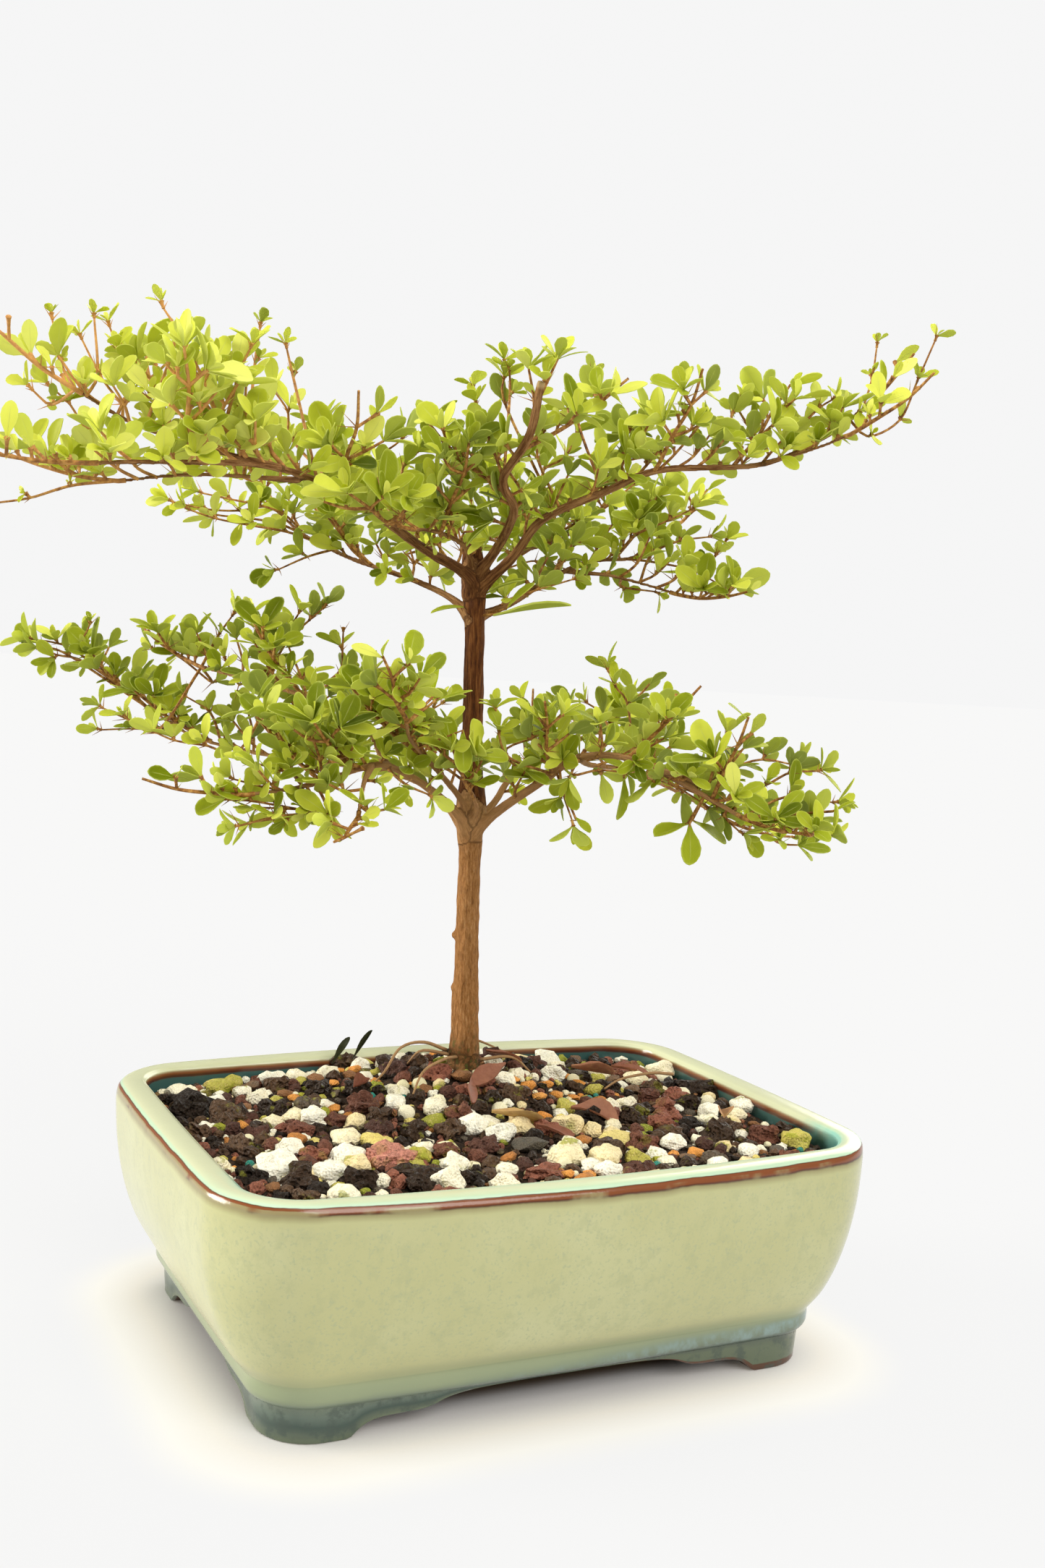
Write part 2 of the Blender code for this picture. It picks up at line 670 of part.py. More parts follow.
def leaf_sections(base, direction, top, length):
    """A leaf's sections past its base, as (centre, axes, half width, half thickness)."""
    axes = (top.cross(direction), top)
    sections = []
    for share, width, rise in LEAF_SECTIONS:
        centre = base + direction * length * share + top * length * rise
        sections.append((centre, axes, length * LEAF_WIDTH * width / 2, LEAF_THICK / 2))
    return sections


def feeler(base, direction, top, length):
    """A slightly swollen leaf, away from its own stalk, that tests what the leaf would meet."""
    bm = bmesh.new()
    start = base + direction * FEELER_START
    sections = [(start, (top.cross(direction), top), KNOB_HALF, LEAF_THICK / 2)]
    sections += leaf_sections(base, direction, top, length)
    rings = [corners(centre, axes, half_width + GAP, half_height + GAP)
             for centre, axes, half_width, half_height in sections]
    rows = loft(bm, rings)
    bm.faces.new(rows[0])
    bm.faces.new(rows[-1])
    tree = BVHTree.FromBMesh(bm)
    bm.free()
    return tree


def grow_leaf(bm, face, knob_axes, direction, top, length):
    base = face.calc_center_median()
    old_axes = knob_axes
    for centre, axes, half_width, half_height in leaf_sections(base, direction, top, length):
        face = extrude(bm, face, old_axes, centre, axes, half_width, half_height)
        old_axes = axes


def grow_knob(bm, face, old_axes, rosette):
    """The knob at a spur's end, and the faces that its leaves grow from."""
    centre, axis, *axes = rosette
    low = centre - axis * KNOB_HEIGHT
    end = extrude(bm, face, old_axes, low, axes, SPUR_HALF, SPUR_HALF)
    end = extrude(bm, end, axes, centre, axes, KNOB_HALF, KNOB_HALF)
    across, upper = axes
    return [side_face(end, spoke) for spoke in (across, upper, -across)]


def grow_stem(bm, heading, points, rosettes):
    """The stem with its nodes, spurs, thorns and knobs, and each knob's leaf faces."""
    axes = square_to(heading, heading.cross(UP))
    base = [bm.verts.new(corner) for corner in corners(points[0], axes, STEM_HALF, STEM_HALF)]
    face = bm.faces.new(base)
    knobs = []
    for node in range(STEM_NODES):
        before = (points[node + 1] - points[node]).normalized()
        after = (points[node + 2] - points[node + 1]).normalized()
        direction = (before + after).normalized()
        new_axes = square_to(direction, direction.cross(UP))
        for offset in (-NODE_HALF, NODE_HALF):
            centre = points[node + 1] + direction * offset
            face = extrude(bm, face, axes, centre, new_axes, STEM_HALF, STEM_HALF)
            axes = new_axes
        spur_side = new_axes[0] * math.copysign(1, new_axes[0].dot(rosettes[node][1]))
        knobs.append((side_face(face, spur_side), (direction, new_axes[1]), rosettes[node]))
        thorn = side_face(face, -spur_side)
        tip = bmesh.ops.poke(bm, faces=[thorn])["verts"][0]
        tip.co += (direction * 0.5 - spur_side + UP * 0.5).normalized() * THORN_LENGTH
    knobs.append((face, axes, rosettes[-1]))
    bm.faces.new(base)
    return [grow_knob(bm, *knob) for knob in knobs]


def make_stem(name, heading, points, rosettes, others):
    """One leafy stem. A leaf that would meet another piece is left off."""
    bm = bmesh.new()
    leaf_faces = grow_stem(bm, heading, points, rosettes)
    own = [BVHTree.FromBMesh(bm)]
    for number, (_, axis, across, upper) in enumerate(rosettes):
        leaves = plan_leaves(name, number, axis, across, upper)
        spokes = (across, upper, -across)
        grown = []
        for face, spoke, (direction, top, length) in zip(leaf_faces[number], spokes, leaves):
            test = feeler(face.calc_center_median(), direction, top, length)
            if any(test.overlap(other) for other in others + own):
                continue
            grow_leaf(bm, face, (axis.cross(spoke), axis), direction, top, length)
            grown.append(test)
        own += grown
    tree = BVHTree.FromBMesh(bm)
    return to_object(bm, name, PARTS), tree


def make_trunk():
    trunk = trunk_tube("trunk", TRUNK, PARTS)
    pieces = []
    for name, start_radius, tip_radius, stations, _, _ in LIMBS:
        points = [station_point(*station) for station in stations]
        sides = 1 if start_radius > FINE_LIMB else 0
        pieces.append(tube(name, points, limb_radii(points, start_radius, tip_radius), PARTS, sides))
    for bearing, length, radius in ROOTS:
        pieces.append(tube("root", root_path(bearing, length), root_radii(radius), PARTS, 0))
    for height, bearing, radius in KNOTS:
        angle = math.radians(bearing)
        out = Vector((math.cos(angle), math.sin(angle), 0)) * 3.2
        bm = bmesh.new()
        bmesh.ops.create_icosphere(bm, subdivisions=1, radius=radius)
        bm.transform(Matrix.Translation(trunk_point(height, 6.2 * height / 171) + out))
        pieces.append(to_object(bm, "knot", PARTS))
    join(trunk, pieces)
    return trunk


def tree_of(obj):
    """An object's surface for the overlap tests, back in millimetres from the pot's centre."""
    bm = bmesh.new()
    bm.from_mesh(obj.data)
    bm.transform(Matrix.Translation(-POT_CENTRE) @ Matrix.Scale(1 / MM, 4))
    tree = BVHTree.FromBMesh(bm)
    bm.free()
    return tree


def dress(objects, name):
    """Gives the objects one new material, and smooth shading between their sharp edges."""
    finish = material(name)
    for obj in objects:
        obj.data.materials.clear()
        obj.data.materials.append(finish)
        for polygon in obj.data.polygons:
            polygon.material_index = 0
        obj.data.shade_smooth()
        obj.data.set_sharp_from_angle(angle=math.radians(40))


clear_scene()
PARTS = new_collection("black olive bonsai")
CUTTERS = new_collection("cutters")
dress([make_pot()], "glaze")
dress([make_drain_mesh("drain_mesh_left", -1), make_drain_mesh("drain_mesh_right", 1)], "drain mesh")
dress([make_soil()], "soil")
tree = make_trunk()
dress([tree], "bark")
standing = [tree_of(tree)]
for stem_plan in plan_stems():
    leafy, surface = make_stem(*stem_plan, standing)
    dress([leafy], "leaf")
    standing.append(surface)
CUTTERS.hide_render = True
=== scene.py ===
# %% [markdown]
# # A black olive bonsai in its glazed pot
# A small tree with thin zigzag twigs and spoon-shaped leaves stands in a celadon pot full of
# mixed grit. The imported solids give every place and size. This script dresses them: it grows
# finer bark, leaves, grit and glaze over the same named points.

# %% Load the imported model
import math
import random

import bmesh
import bpy
import numpy as np
from mathutils import Matrix, Quaternion, Vector, noise
from mathutils.bvhtree import BVHTree
from mathutils.kdtree import KDTree


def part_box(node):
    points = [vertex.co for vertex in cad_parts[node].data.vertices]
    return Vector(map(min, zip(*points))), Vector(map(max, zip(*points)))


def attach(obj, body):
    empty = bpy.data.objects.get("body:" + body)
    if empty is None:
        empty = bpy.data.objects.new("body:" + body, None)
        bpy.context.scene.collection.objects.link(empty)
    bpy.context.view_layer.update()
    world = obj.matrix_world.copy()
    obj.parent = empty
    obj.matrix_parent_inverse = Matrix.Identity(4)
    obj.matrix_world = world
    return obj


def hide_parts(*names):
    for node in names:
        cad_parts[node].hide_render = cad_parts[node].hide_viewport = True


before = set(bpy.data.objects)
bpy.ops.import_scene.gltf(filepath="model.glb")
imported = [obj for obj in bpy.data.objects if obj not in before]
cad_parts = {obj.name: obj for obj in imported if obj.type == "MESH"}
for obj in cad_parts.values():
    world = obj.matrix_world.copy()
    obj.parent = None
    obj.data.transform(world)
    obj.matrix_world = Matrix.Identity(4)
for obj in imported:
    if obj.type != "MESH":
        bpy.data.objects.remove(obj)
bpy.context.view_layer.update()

MM = 0.001
UP = Vector((0, 0, 1))
print(len(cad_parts), "solids loaded")

# %% [markdown]
# ## One scale for everything
# The tree is planned in millimetres from the middle of the pot's foot, as its source is. One
# matrix puts a finished mesh into the frame in metres, so that each object stays unturned at
# the origin.

# %% Scale and finishing
low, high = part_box("pot")
POT_CENTRE = Vector(((low.x + high.x) / 2, (low.y + high.y) / 2, 0)) / MM
PLACE = Matrix.Scale(MM, 4) @ Matrix.Translation(POT_CENTRE)


def mesh_object(bm, name):
    """Makes an object from a bmesh and frees the bmesh."""
    mesh = bpy.data.meshes.new(name)
    bm.to_mesh(mesh)
    bm.free()
    return bpy.data.objects.new(name, mesh)


def new_piece(bm, name, paints, replaced=(), smooth_angle=None):
    """Turns a bmesh in millimetres into a piece that rides on the model's one body."""
    bm.transform(PLACE)
    piece = mesh_object(bm, name)
    for paint in paints:
        piece.data.materials.append(paint.material)
    piece.data.shade_smooth()
    if smooth_angle:
        piece.data.set_sharp_from_angle(angle=math.radians(smooth_angle))
    bpy.context.scene.collection.objects.link(piece)
    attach(piece, "root")
    if replaced:
        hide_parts(*replaced)
    return piece


print("the pot's centre in millimetres:", tuple(round(c, 2) for c in POT_CENTRE))

# %% [markdown]
# ## Camera
# The camera's place was worked out from the pot: its rim and feet are a known rounded
# rectangle, so their outline in the picture fixes distance, turn, tilt and lens at once.

# %% Camera
CAMERA_PLACE = Vector((-209.3, -436.5, 199.4))
FOCAL_LENGTH, SENSOR_WIDTH = 36.96, 36.0
HEADING, DIP, ROLL = (math.radians(angle) for angle in (26.35, 3.98, 3.27))

forward = Vector((math.sin(HEADING) * math.cos(DIP), math.cos(HEADING) * math.cos(DIP),
                  -math.sin(DIP)))
level_right = Vector((math.cos(HEADING), -math.sin(HEADING), 0))
level_up = level_right.cross(forward)
right = level_right * math.cos(ROLL) + level_up * math.sin(ROLL)
above = level_up * math.cos(ROLL) - level_right * math.sin(ROLL)
lens = bpy.data.cameras.new("camera")
lens.lens, lens.sensor_width = FOCAL_LENGTH, SENSOR_WIDTH
lens.clip_start, lens.clip_end = 0.01, 100
camera = bpy.data.objects.new("camera", lens)
camera.matrix_world = (Matrix.Translation((CAMERA_PLACE + POT_CENTRE) * MM)
                       @ Matrix((right, above, -forward)).transposed().to_4x4())
bpy.context.scene.collection.objects.link(camera)
bpy.context.scene.camera = camera
print("camera stands", round(CAMERA_PLACE.length), "mm from the pot")

# %% [markdown]
# ## Shader maths that reads like Python
# A material is a graph of nodes. `Wire` wraps one output socket, so `wire * 2 + 1` adds the
# Math nodes by itself. Nodes could be joined one by one instead, but then a formula of ten
# steps takes thirty lines and can't be read.


# %% Wire
class Wire:
    """An output socket of a material's node, with arithmetic."""

    def __init__(self, paint, socket):
        self.paint = paint
        self.socket = socket

    def math(self, operation, first, second):
        return self.paint.add("ShaderNodeMath", {"operation": operation}, {0: first, 1: second})

    def __add__(self, other):
        return self.math("ADD", self, other)

    def __radd__(self, other):
        return self.math("ADD", other, self)

    def __sub__(self, other):
        return self.math("SUBTRACT", self, other)

    def __rsub__(self, other):
        return self.math("SUBTRACT", other, self)

    def __mul__(self, other):
        return self.math("MULTIPLY", self, other)

    def __rmul__(self, other):
        return self.math("MULTIPLY", other, self)

    def __truediv__(self, other):
        return self.math("DIVIDE", self, other)

    def __abs__(self):
        return self.math("ABSOLUTE", self, 0)


print("Wire is ready")

# %% [markdown]
# ## Paint
# Every finish here is one Principled shader fed by noise, ramps and masks. `Paint` holds the
# material, adds any node with one method, `add`, and gives the few that come back often a
# short name of their own.


# %% Paint
class Paint:
    """A material with one Principled shader, and short ways to feed it."""

    def __init__(self, name, **constants):
        self.material = bpy.data.materials.new(name)
        self.material.use_nodes = True
        self.nodes = self.material.node_tree.nodes
        self.shader = self.nodes["Principled BSDF"]
        for socket, value in constants.items():
            self.shader.inputs[socket.replace("_", " ")].default_value = value

    def add(self, kind, settings=(), values=(), out=0):
        node = self.nodes.new(kind)
        for name, value in dict(settings).items():
            if name == "stops":
                ramp = node.color_ramp.elements
                while len(ramp) < len(value):
                    ramp.new(0.5)
                for stop, (place, colour) in zip(ramp, value):
                    stop.position = place
                    stop.color = (*colour, 1)
            else:
                setattr(node, name, value)
        for name, value in dict(values).items():
            self.feed(node.inputs[name], value)
        return Wire(self, node.outputs[out])

    def feed(self, socket, value):
        if isinstance(value, Wire):
            self.material.node_tree.links.new(value.socket, socket)
        elif socket.type == "RGBA" and len(value) == 3:
            socket.default_value = (*value, 1)
        else:
            socket.default_value = value

    def place(self, stretch=(1, 1, 1)):
        """Object coordinates in metres, stretched along the axes."""
        return self.scaled(self.add("ShaderNodeTexCoord", out="Object"), stretch)

    def scaled(self, vector, stretch):
        return self.add("ShaderNodeMapping", {}, {"Vector": vector, "Scale": stretch})

    def part(self, vector, axis):
        """One coordinate of a vector."""
        return self.add("ShaderNodeSeparateXYZ", {}, {0: vector}, out=axis)

    def vector_math(self, operation, first, second=(0, 0, 0), out=0):
        return self.add("ShaderNodeVectorMath", {"operation": operation},
                        {0: first, 1: second}, out=out)

    def attribute(self, name, out="Fac"):
        return self.add("ShaderNodeAttribute", {"attribute_name": name}, out=out)

    def noise(self, vector, scale, detail=3.0, roughness=0.55):
        return self.add("ShaderNodeTexNoise", {},
                        {"Vector": vector, "Scale": scale, "Detail": detail,
                         "Roughness": roughness})

    def cells(self, vector, scale):
        return self.add("ShaderNodeTexVoronoi", {}, {"Vector": vector, "Scale": scale})

    def fade(self, value, start, end):
        """0 at start and 1 at end, smoothly, and held beyond them."""
        return self.add("ShaderNodeMapRange", {"interpolation_type": "SMOOTHSTEP"},
                        {"Value": value, "From Min": start, "From Max": end})

    def ramp(self, value, stops):
        return self.add("ShaderNodeValToRGB", {"stops": stops}, {"Fac": value})

    def mix(self, share, first, second, blend="MIX"):
        return self.add("ShaderNodeMix", {"data_type": "RGBA", "blend_type": blend},
                        {0: share, 6: first, 7: second}, out=2)

    def finish(self, colour, roughness=None, height=None, depth=0.0001, strength=1.0):
        """Feeds the shader its colour, roughness and a bump of a depth in metres."""
        self.feed(self.shader.inputs["Base Color"], colour)
        if roughness:
            self.feed(self.shader.inputs["Roughness"], roughness)
        if height:
            bump = self.add("ShaderNodeBump", {}, {"Height": height, "Distance": depth,
                                                   "Strength": strength})
            self.feed(self.shader.inputs["Normal"], bump)
        return self


print("Paint can add any node")

# %% [markdown]
# ## Studio
# The picture has a pale seamless ground and soft light that is strongest from behind on the
# left. Area lights near the pot would leave bright pools on the floor. Suns with a wide angle
# act as far softboxes: they light the floor evenly, so that it meets the pale world without a
# visible horizon.

# %% Floor, world and lights
WHITE = 0.92
# Away from the pot the cloth is so bright in the picture that shadows fade out on it.
GLOW_SPAN = (0.004, 0.052)
# How far from the pot's footprint the painted contact shadow reaches, in metres.
CONTACT_SHADOW_SPAN = (0.007, 0.0)
POT_FOOTPRINT = (0.068, 0.045, 0.0)
FAR_ALBEDO, FAR_GLOW = 0.07, 0.82
FLOOR_HALF = 30

bpy.context.scene.view_settings.view_transform = "Standard"
floor_paint = Paint("studio_floor", Roughness=0.9)
weave = floor_paint.noise(floor_paint.place(), 900, detail=2)
cloth = floor_paint.mix(weave, (0.62, 0.62, 0.62), (0.66, 0.66, 0.66))
from_pot = floor_paint.vector_math("SUBTRACT", floor_paint.place(), POT_CENTRE * MM)
outside = floor_paint.vector_math("SUBTRACT", floor_paint.vector_math("ABSOLUTE", from_pot),
                                  POT_FOOTPRINT)
away = floor_paint.vector_math("LENGTH", floor_paint.vector_math("MAXIMUM", outside), out="Value")
far = floor_paint.fade(away, *GLOW_SPAN)
# Painted contact shadow: the cloth turns dark brown under the pot and within a few millimetres of
# it.
cloth = floor_paint.mix(floor_paint.fade(away, *CONTACT_SHADOW_SPAN), cloth, (0.17, 0.125, 0.085))
floor_paint.finish(floor_paint.mix(far, cloth, (FAR_ALBEDO,) * 3))
# The floor glows more with distance from the pot, and on the way it passes a warm ring: a painted
# pool of light round the pot.
floor_paint.feed(floor_paint.shader.inputs["Emission Color"], floor_paint.ramp(far, [
    (0.0, (0, 0, 0)), (0.4, (0.44, 0.40, 0.33)), (0.75, (0.72, 0.70, 0.64)),
    (1.0, (FAR_GLOW,) * 3)]))
floor_paint.shader.inputs["Emission Strength"].default_value = 1.0
floor_paint.shader.inputs["Specular IOR Level"].default_value = 0.0
bm = bmesh.new()
bmesh.ops.create_grid(bm, x_segments=8, y_segments=8, size=FLOOR_HALF)
floor = mesh_object(bm, "floor")
floor.data.materials.append(floor_paint.material)
bpy.context.scene.collection.objects.link(floor)

world = bpy.data.worlds.new("studio")
world.use_nodes = True
bpy.context.scene.world = world
tree = world.node_tree
seen = tree.nodes["Background"]
seen.inputs["Color"].default_value = (WHITE, WHITE, WHITE, 1)
ambient = tree.nodes.new("ShaderNodeBackground")
ambient.inputs["Color"].default_value = (0.31, 0.31, 0.30, 1)
path = tree.nodes.new("ShaderNodeLightPath")
choice = tree.nodes.new("ShaderNodeMixShader")
tree.links.new(path.outputs["Is Camera Ray"], choice.inputs[0])
tree.links.new(ambient.outputs[0], choice.inputs[1])
tree.links.new(seen.outputs[0], choice.inputs[2])
tree.links.new(choice.outputs[0], tree.nodes["World Output"].inputs[0])


def sun(name, towards, strength, angle, colour=(1, 1, 1)):
    """A far softbox that lies in a direction from the pot."""
    light = bpy.data.lights.new(name, "SUN")
    light.energy = strength
    light.angle = math.radians(angle)
    light.color = colour
    lamp = bpy.data.objects.new(name, light)
    lamp.rotation_euler = Vector(towards).to_track_quat("Z", "Y").to_euler()
    bpy.context.scene.collection.objects.link(lamp)


sun("left_softbox", (-0.85, 0.50, 0.16), 5.1, 36, (1.0, 0.97, 0.90))
sun("front_softbox", (0.12, -0.85, 0.62), 2.2, 40, (1.0, 0.98, 0.95))
sun("top_softbox", (0.0, 0.0, 1.0), 1.65, 60, (1.0, 0.99, 0.96))
sun("right_softbox", (0.90, 0.55, 0.45), 1.4, 44, (1.0, 0.98, 0.92))
print("floor, world and four far softboxes")

# %% [markdown]
# ## Drawing out rings
# Most pieces here are rings joined in a row: pot walls, the soil, trunk, limbs and twigs. The
# first ring comes from `create_circle`, and each further one is extruded from the last and
# moved, so that the faces are made by the operator. A bevelled curve would be shorter to
# write, but its rings can't change their outline from one to the next.


# %% Rings, tubes and smooth curves
def draw_out(bm, row, points):
    """Extrudes a closed row of vertices to new points and returns the new row in order."""
    edges = [bm.edges.get((a, b)) for a, b in zip(row, row[1:] + row[:1])]
    made = bmesh.ops.extrude_edge_only(bm, edges=edges)["geom"]
    fresh = {item for item in made if isinstance(item, bmesh.types.BMVert)}
    out = []
    for vert, point in zip(row, points):
        twin = next(edge.other_vert(vert) for edge in vert.link_edges
                    if edge.other_vert(vert) in fresh)
        twin.co = point
        out.append(twin)
    return out


def new_circle(bm, count):
    """The vertices of a new circle, each beside the next."""
    made = bmesh.ops.create_circle(bm, segments=count, radius=1, cap_ends=False)["verts"]
    row = [made[0]]
    while len(row) < count:
        beside = [edge.other_vert(row[-1]) for edge in row[-1].link_edges]
        row.append(next(vert for vert in beside if vert not in row[-2:]))
    return row


def loft(bm, rings):
    """Joins rings of equal count and closes both ends. Returns the rows of vertices."""
    row = new_circle(bm, len(rings[0]))
    for vert, point in zip(row, rings[0]):
        vert.co = point
    rows = [row]
    for points in rings[1:]:
        rows.append(draw_out(bm, rows[-1], points))
    bm.faces.new(rows[0])
    bm.faces.new(rows[-1])
    return rows


def square_part(vector, direction):
    """What of a vector is square to a direction, with a length of 1."""
    return (vector - direction * vector.dot(direction)).normalized()


def smooth(knots, pieces):
    """A curve through the knots, with the span between two knots cut into pieces."""
    knots = np.array(knots, float)
    knots = np.vstack([2 * knots[0] - knots[1], knots, 2 * knots[-1] - knots[-2]])
    out = []
    for a, b, c, d in zip(knots, knots[1:], knots[2:], knots[3:]):
        for t in np.arange(pieces) / pieces:
            out.append(b + 0.5 * t * (c - a + t * (2 * a - 5 * b + 4 * c - d
                                                   + t * (3 * (b - c) + d - a))))
    return np.array(out + [knots[-2]]).tolist()


def frames(points):
    """A direction and two directions square to it at each point, with no sudden twist."""
    directions = [(b - a).normalized() for a, b in zip(points, points[1:])]
    directions = [directions[0]] + [(a + b).normalized() for a, b in
                                    zip(directions, directions[1:])] + [directions[-1]]
    side = directions[0].orthogonal().normalized()
    out = []
    for direction in directions:
        side = square_part(side, direction)
        out.append((direction, side, direction.cross(side)))
    return out


def tube(bm, points, radii, sides, wobble=None):
    """A closed tapering tube. wobble gives a share of the radius by angle and place."""
    rings = []
    for point, radius, (_, side, other) in zip(points, radii, frames(points)):
        ring = []
        for step in range(sides):
            angle = math.tau * step / sides
            out = side * math.cos(angle) + other * math.sin(angle)
            share = wobble(angle, point) if wobble else 1
            ring.append(point + out * radius * share)
        rings.append(ring)
    return loft(bm, rings)


print("rings can be drawn out")

# %% [markdown]
# ## Pot
# The real pot is slip-cast: a rounded rectangle whose long sides bow outwards, a rolled rim, a
# wall that turns in low down, a stepped band and four soft cloud feet. The levels are the
# same as the solid's, with a smooth curve through them. The arches between the feet are made
# by lifting the lowest rings, which keeps their edges as round as on the real casting.

# %% Sizes of the pot
POT_LENGTH, POT_DEPTH = 203.0, 159.0
LONG_SIDE_BOW, SHORT_SIDE_BOW = 9.2, 1.9
FOOT_INSET = 18.8
UNDERSIDE, FLOOR = 9.6, 14.0
INNER_WALL = [(24.0, FLOOR, 9.0), (20.0, 15.5, 11.0), (16.5, 21.0, 12.5), (13.0, 34.0, 13.0),
              (11.0, 50.0, 13.5)]
RIM = [(10.2, 64.0, 13.5), (9.2, 66.2, 14.0), (7.4, 66.9, 15.5), (3.2, 67.0, 18.5),
       (0.9, 66.0, 20.5), (0.0, 63.8, 21.4)]
OUTER_WALL = [(0.0, 59.0, 21.4), (0.8, 49.0, 21.0), (2.6, 39.0, 20.4), (5.6, 29.5, 19.2),
              (9.4, 22.0, 17.6), (13.7, 16.8, 15.8)]
BAND = [(13.7, 16.8, 15.8), (14.5, 15.4, 15.4), (14.8, 11.6, 15.2), (17.2, 9.4, 14.6)]
FOOT_RING = [(17.2, 9.4, 14.6), (17.9, 2.0, 14.2), (FOOT_INSET, 0.0, 13.8), (27.0, 0.0, 7.0),
             (26.4, UNDERSIDE, 7.0)]
LONG_ARCH = [(62.3, 0.0), (61.4, 0.9), (58.6, 3.2), (54.0, 4.6), (43.5, 5.0), (39.5, 5.6),
             (34.5, 7.4), (27.0, 8.4), (12.0, 8.8), (0.0, 8.8)]
SHORT_ARCH = [(40.3, 0.0), (39.4, 0.9), (36.6, 3.2), (32.0, 4.6), (25.0, 5.0), (21.5, 5.6),
              (17.5, 7.4), (12.0, 8.4), (5.0, 8.8), (0.0, 8.8)]
DRAIN_RADIUS, DRAIN_OFFSET = 7.0, 42.0
CORNER_STEPS, LONG_STEPS, SHORT_STEPS = 10, 96, 64


def ring(inset, height, corner, steps=(CORNER_STEPS, LONG_STEPS, SHORT_STEPS)):
    """The pot's rounded outline at one height, its long sides bowed out above the feet."""
    bow = 1 - inset / FOOT_INSET if inset < FOOT_INSET else 0
    long_bow = LONG_SIDE_BOW * bow
    short_bow = SHORT_SIDE_BOW * bow
    half_x = POT_LENGTH / 2 - inset - short_bow
    half_y = POT_DEPTH / 2 - inset - long_bow
    corner_steps, long_steps, short_steps = steps
    points = []
    for quarter in range(4):
        turn = math.radians(90 * quarter)
        sign_x = 1 if quarter in (0, 3) else -1
        sign_y = 1 if quarter in (0, 1) else -1
        centre = Vector((sign_x * (half_x - corner), sign_y * (half_y - corner)))
        for step in range(corner_steps + 1):
            angle = turn + math.pi / 2 * step / corner_steps
            points.append(centre + corner * Vector((math.cos(angle), math.sin(angle))))
        side_steps = long_steps if quarter in (0, 2) else short_steps
        start = points[-1]
        end = Vector((-start.x, start.y)) if quarter in (0, 2) else Vector((start.x, -start.y))
        for step in range(1, side_steps):
            points.append(start.lerp(end, step / side_steps))
    out = []
    for point in points:
        lift_y = long_bow * max(0, 1 - (point.x / half_x) ** 2) * abs(point.y) / half_y
        lift_x = short_bow * max(0, 1 - (point.y / half_y) ** 2) * abs(point.x) / half_x
        out.append(Vector((point.x + math.copysign(lift_x, point.x),
                           point.y + math.copysign(lift_y, point.y), height)))
    return out


print("one ring of the wall has", len(ring(*RIM[0])), "points")

# %% Rings of the wall and arches
ARCH_CURVES = []
for arch in (LONG_ARCH, SHORT_ARCH):
    curve = np.array(smooth(arch, 6))[::-1]
    ARCH_CURVES.append((curve[:, 0], curve[:, 1]))


def arch_height(point):
    """How high the lower edge stands over the table at a point of the outline."""
    for place, (across, height) in zip((abs(point.x), abs(point.y)), ARCH_CURVES):
        if place < across[-1]:
            return float(np.interp(place, across, height))
    return 0.0


def pot_rings():
    """The rings of the wall, with the level of each: 0 is at the inner floor, 22 underneath."""
    rings, levels = [], []
    count = 0
    for part, bent, pieces in ((INNER_WALL + RIM + OUTER_WALL, None, 5), (BAND, None, 5),
                               (FOOT_RING, 4, 4)):
        curve = smooth(part[:bent], pieces) + (part[bent:] if bent else [])
        for step, (inset, height, corner) in enumerate(curve):
            if rings and step == 0:
                continue
            points = ring(inset, max(height, 0.0), corner)
            for point in points:
                lift = arch_height(point)
                if point.z < UNDERSIDE:
                    point.z = lift + point.z * (1 - lift / UNDERSIDE)
            rings.append(points)
            levels.append(count + min(step / pieces, len(part) - 1))
        count += len(part) - 1
    return rings, levels


print("the wall has", len(pot_rings()[0]), "rings")


# %% The pot and its drainage holes
def apply_modifiers(piece):
    graph = bpy.context.evaluated_depsgraph_get()
    result = bpy.data.meshes.new_from_object(piece.evaluated_get(graph))
    piece.modifiers.clear()
    piece.data = result


def boolean(piece, others, operation):
    """Applies one exact Boolean with some helper objects, and removes them."""
    group = bpy.data.collections.new("helpers")
    bpy.context.scene.collection.children.link(group)
    for other in others:
        group.objects.link(other)
    modifier = piece.modifiers.new("boolean", "BOOLEAN")
    modifier.operation = operation
    modifier.operand_type = "COLLECTION"
    modifier.collection = group
    modifier.solver = "EXACT"
    apply_modifiers(piece)
    for other in others:
        bpy.data.objects.remove(other)
    bpy.data.collections.remove(group)


def make_pot(paint):
    rings, levels = pot_rings()
    bm = bmesh.new()
    rows = loft(bm, rings)
    bmesh.ops.recalc_face_normals(bm, faces=bm.faces)
    places = KDTree(sum(len(row) for row in rows))
    values = []
    for row, level in zip(rows, levels):
        for vert in row:
            places.insert(PLACE @ vert.co, len(values))
            values.append(level)
    places.balance()
    pot = new_piece(bm, "glazed_pot", [paint], ["pot"])
    drains = []
    for side in (-1, 1):
        bm = bmesh.new()
        bmesh.ops.create_cone(bm, cap_ends=True, segments=40, radius1=DRAIN_RADIUS,
                              radius2=DRAIN_RADIUS, depth=20,
                              matrix=Matrix.Translation((side * DRAIN_OFFSET, 0, FLOOR)))
        bm.transform(PLACE)
        drains.append(mesh_object(bm, "drain"))
    boolean(pot, drains, "DIFFERENCE")
    level = pot.data.attributes.new("level", "FLOAT", "POINT")
    level.data.foreach_set("value", [values[places.find(vert.co)[1]]
                                     for vert in pot.data.vertices])
    pot.data.set_sharp_from_angle(angle=math.radians(50))
    return pot, max(values)


print("each drainage hole is", 2 * DRAIN_RADIUS, "mm across")

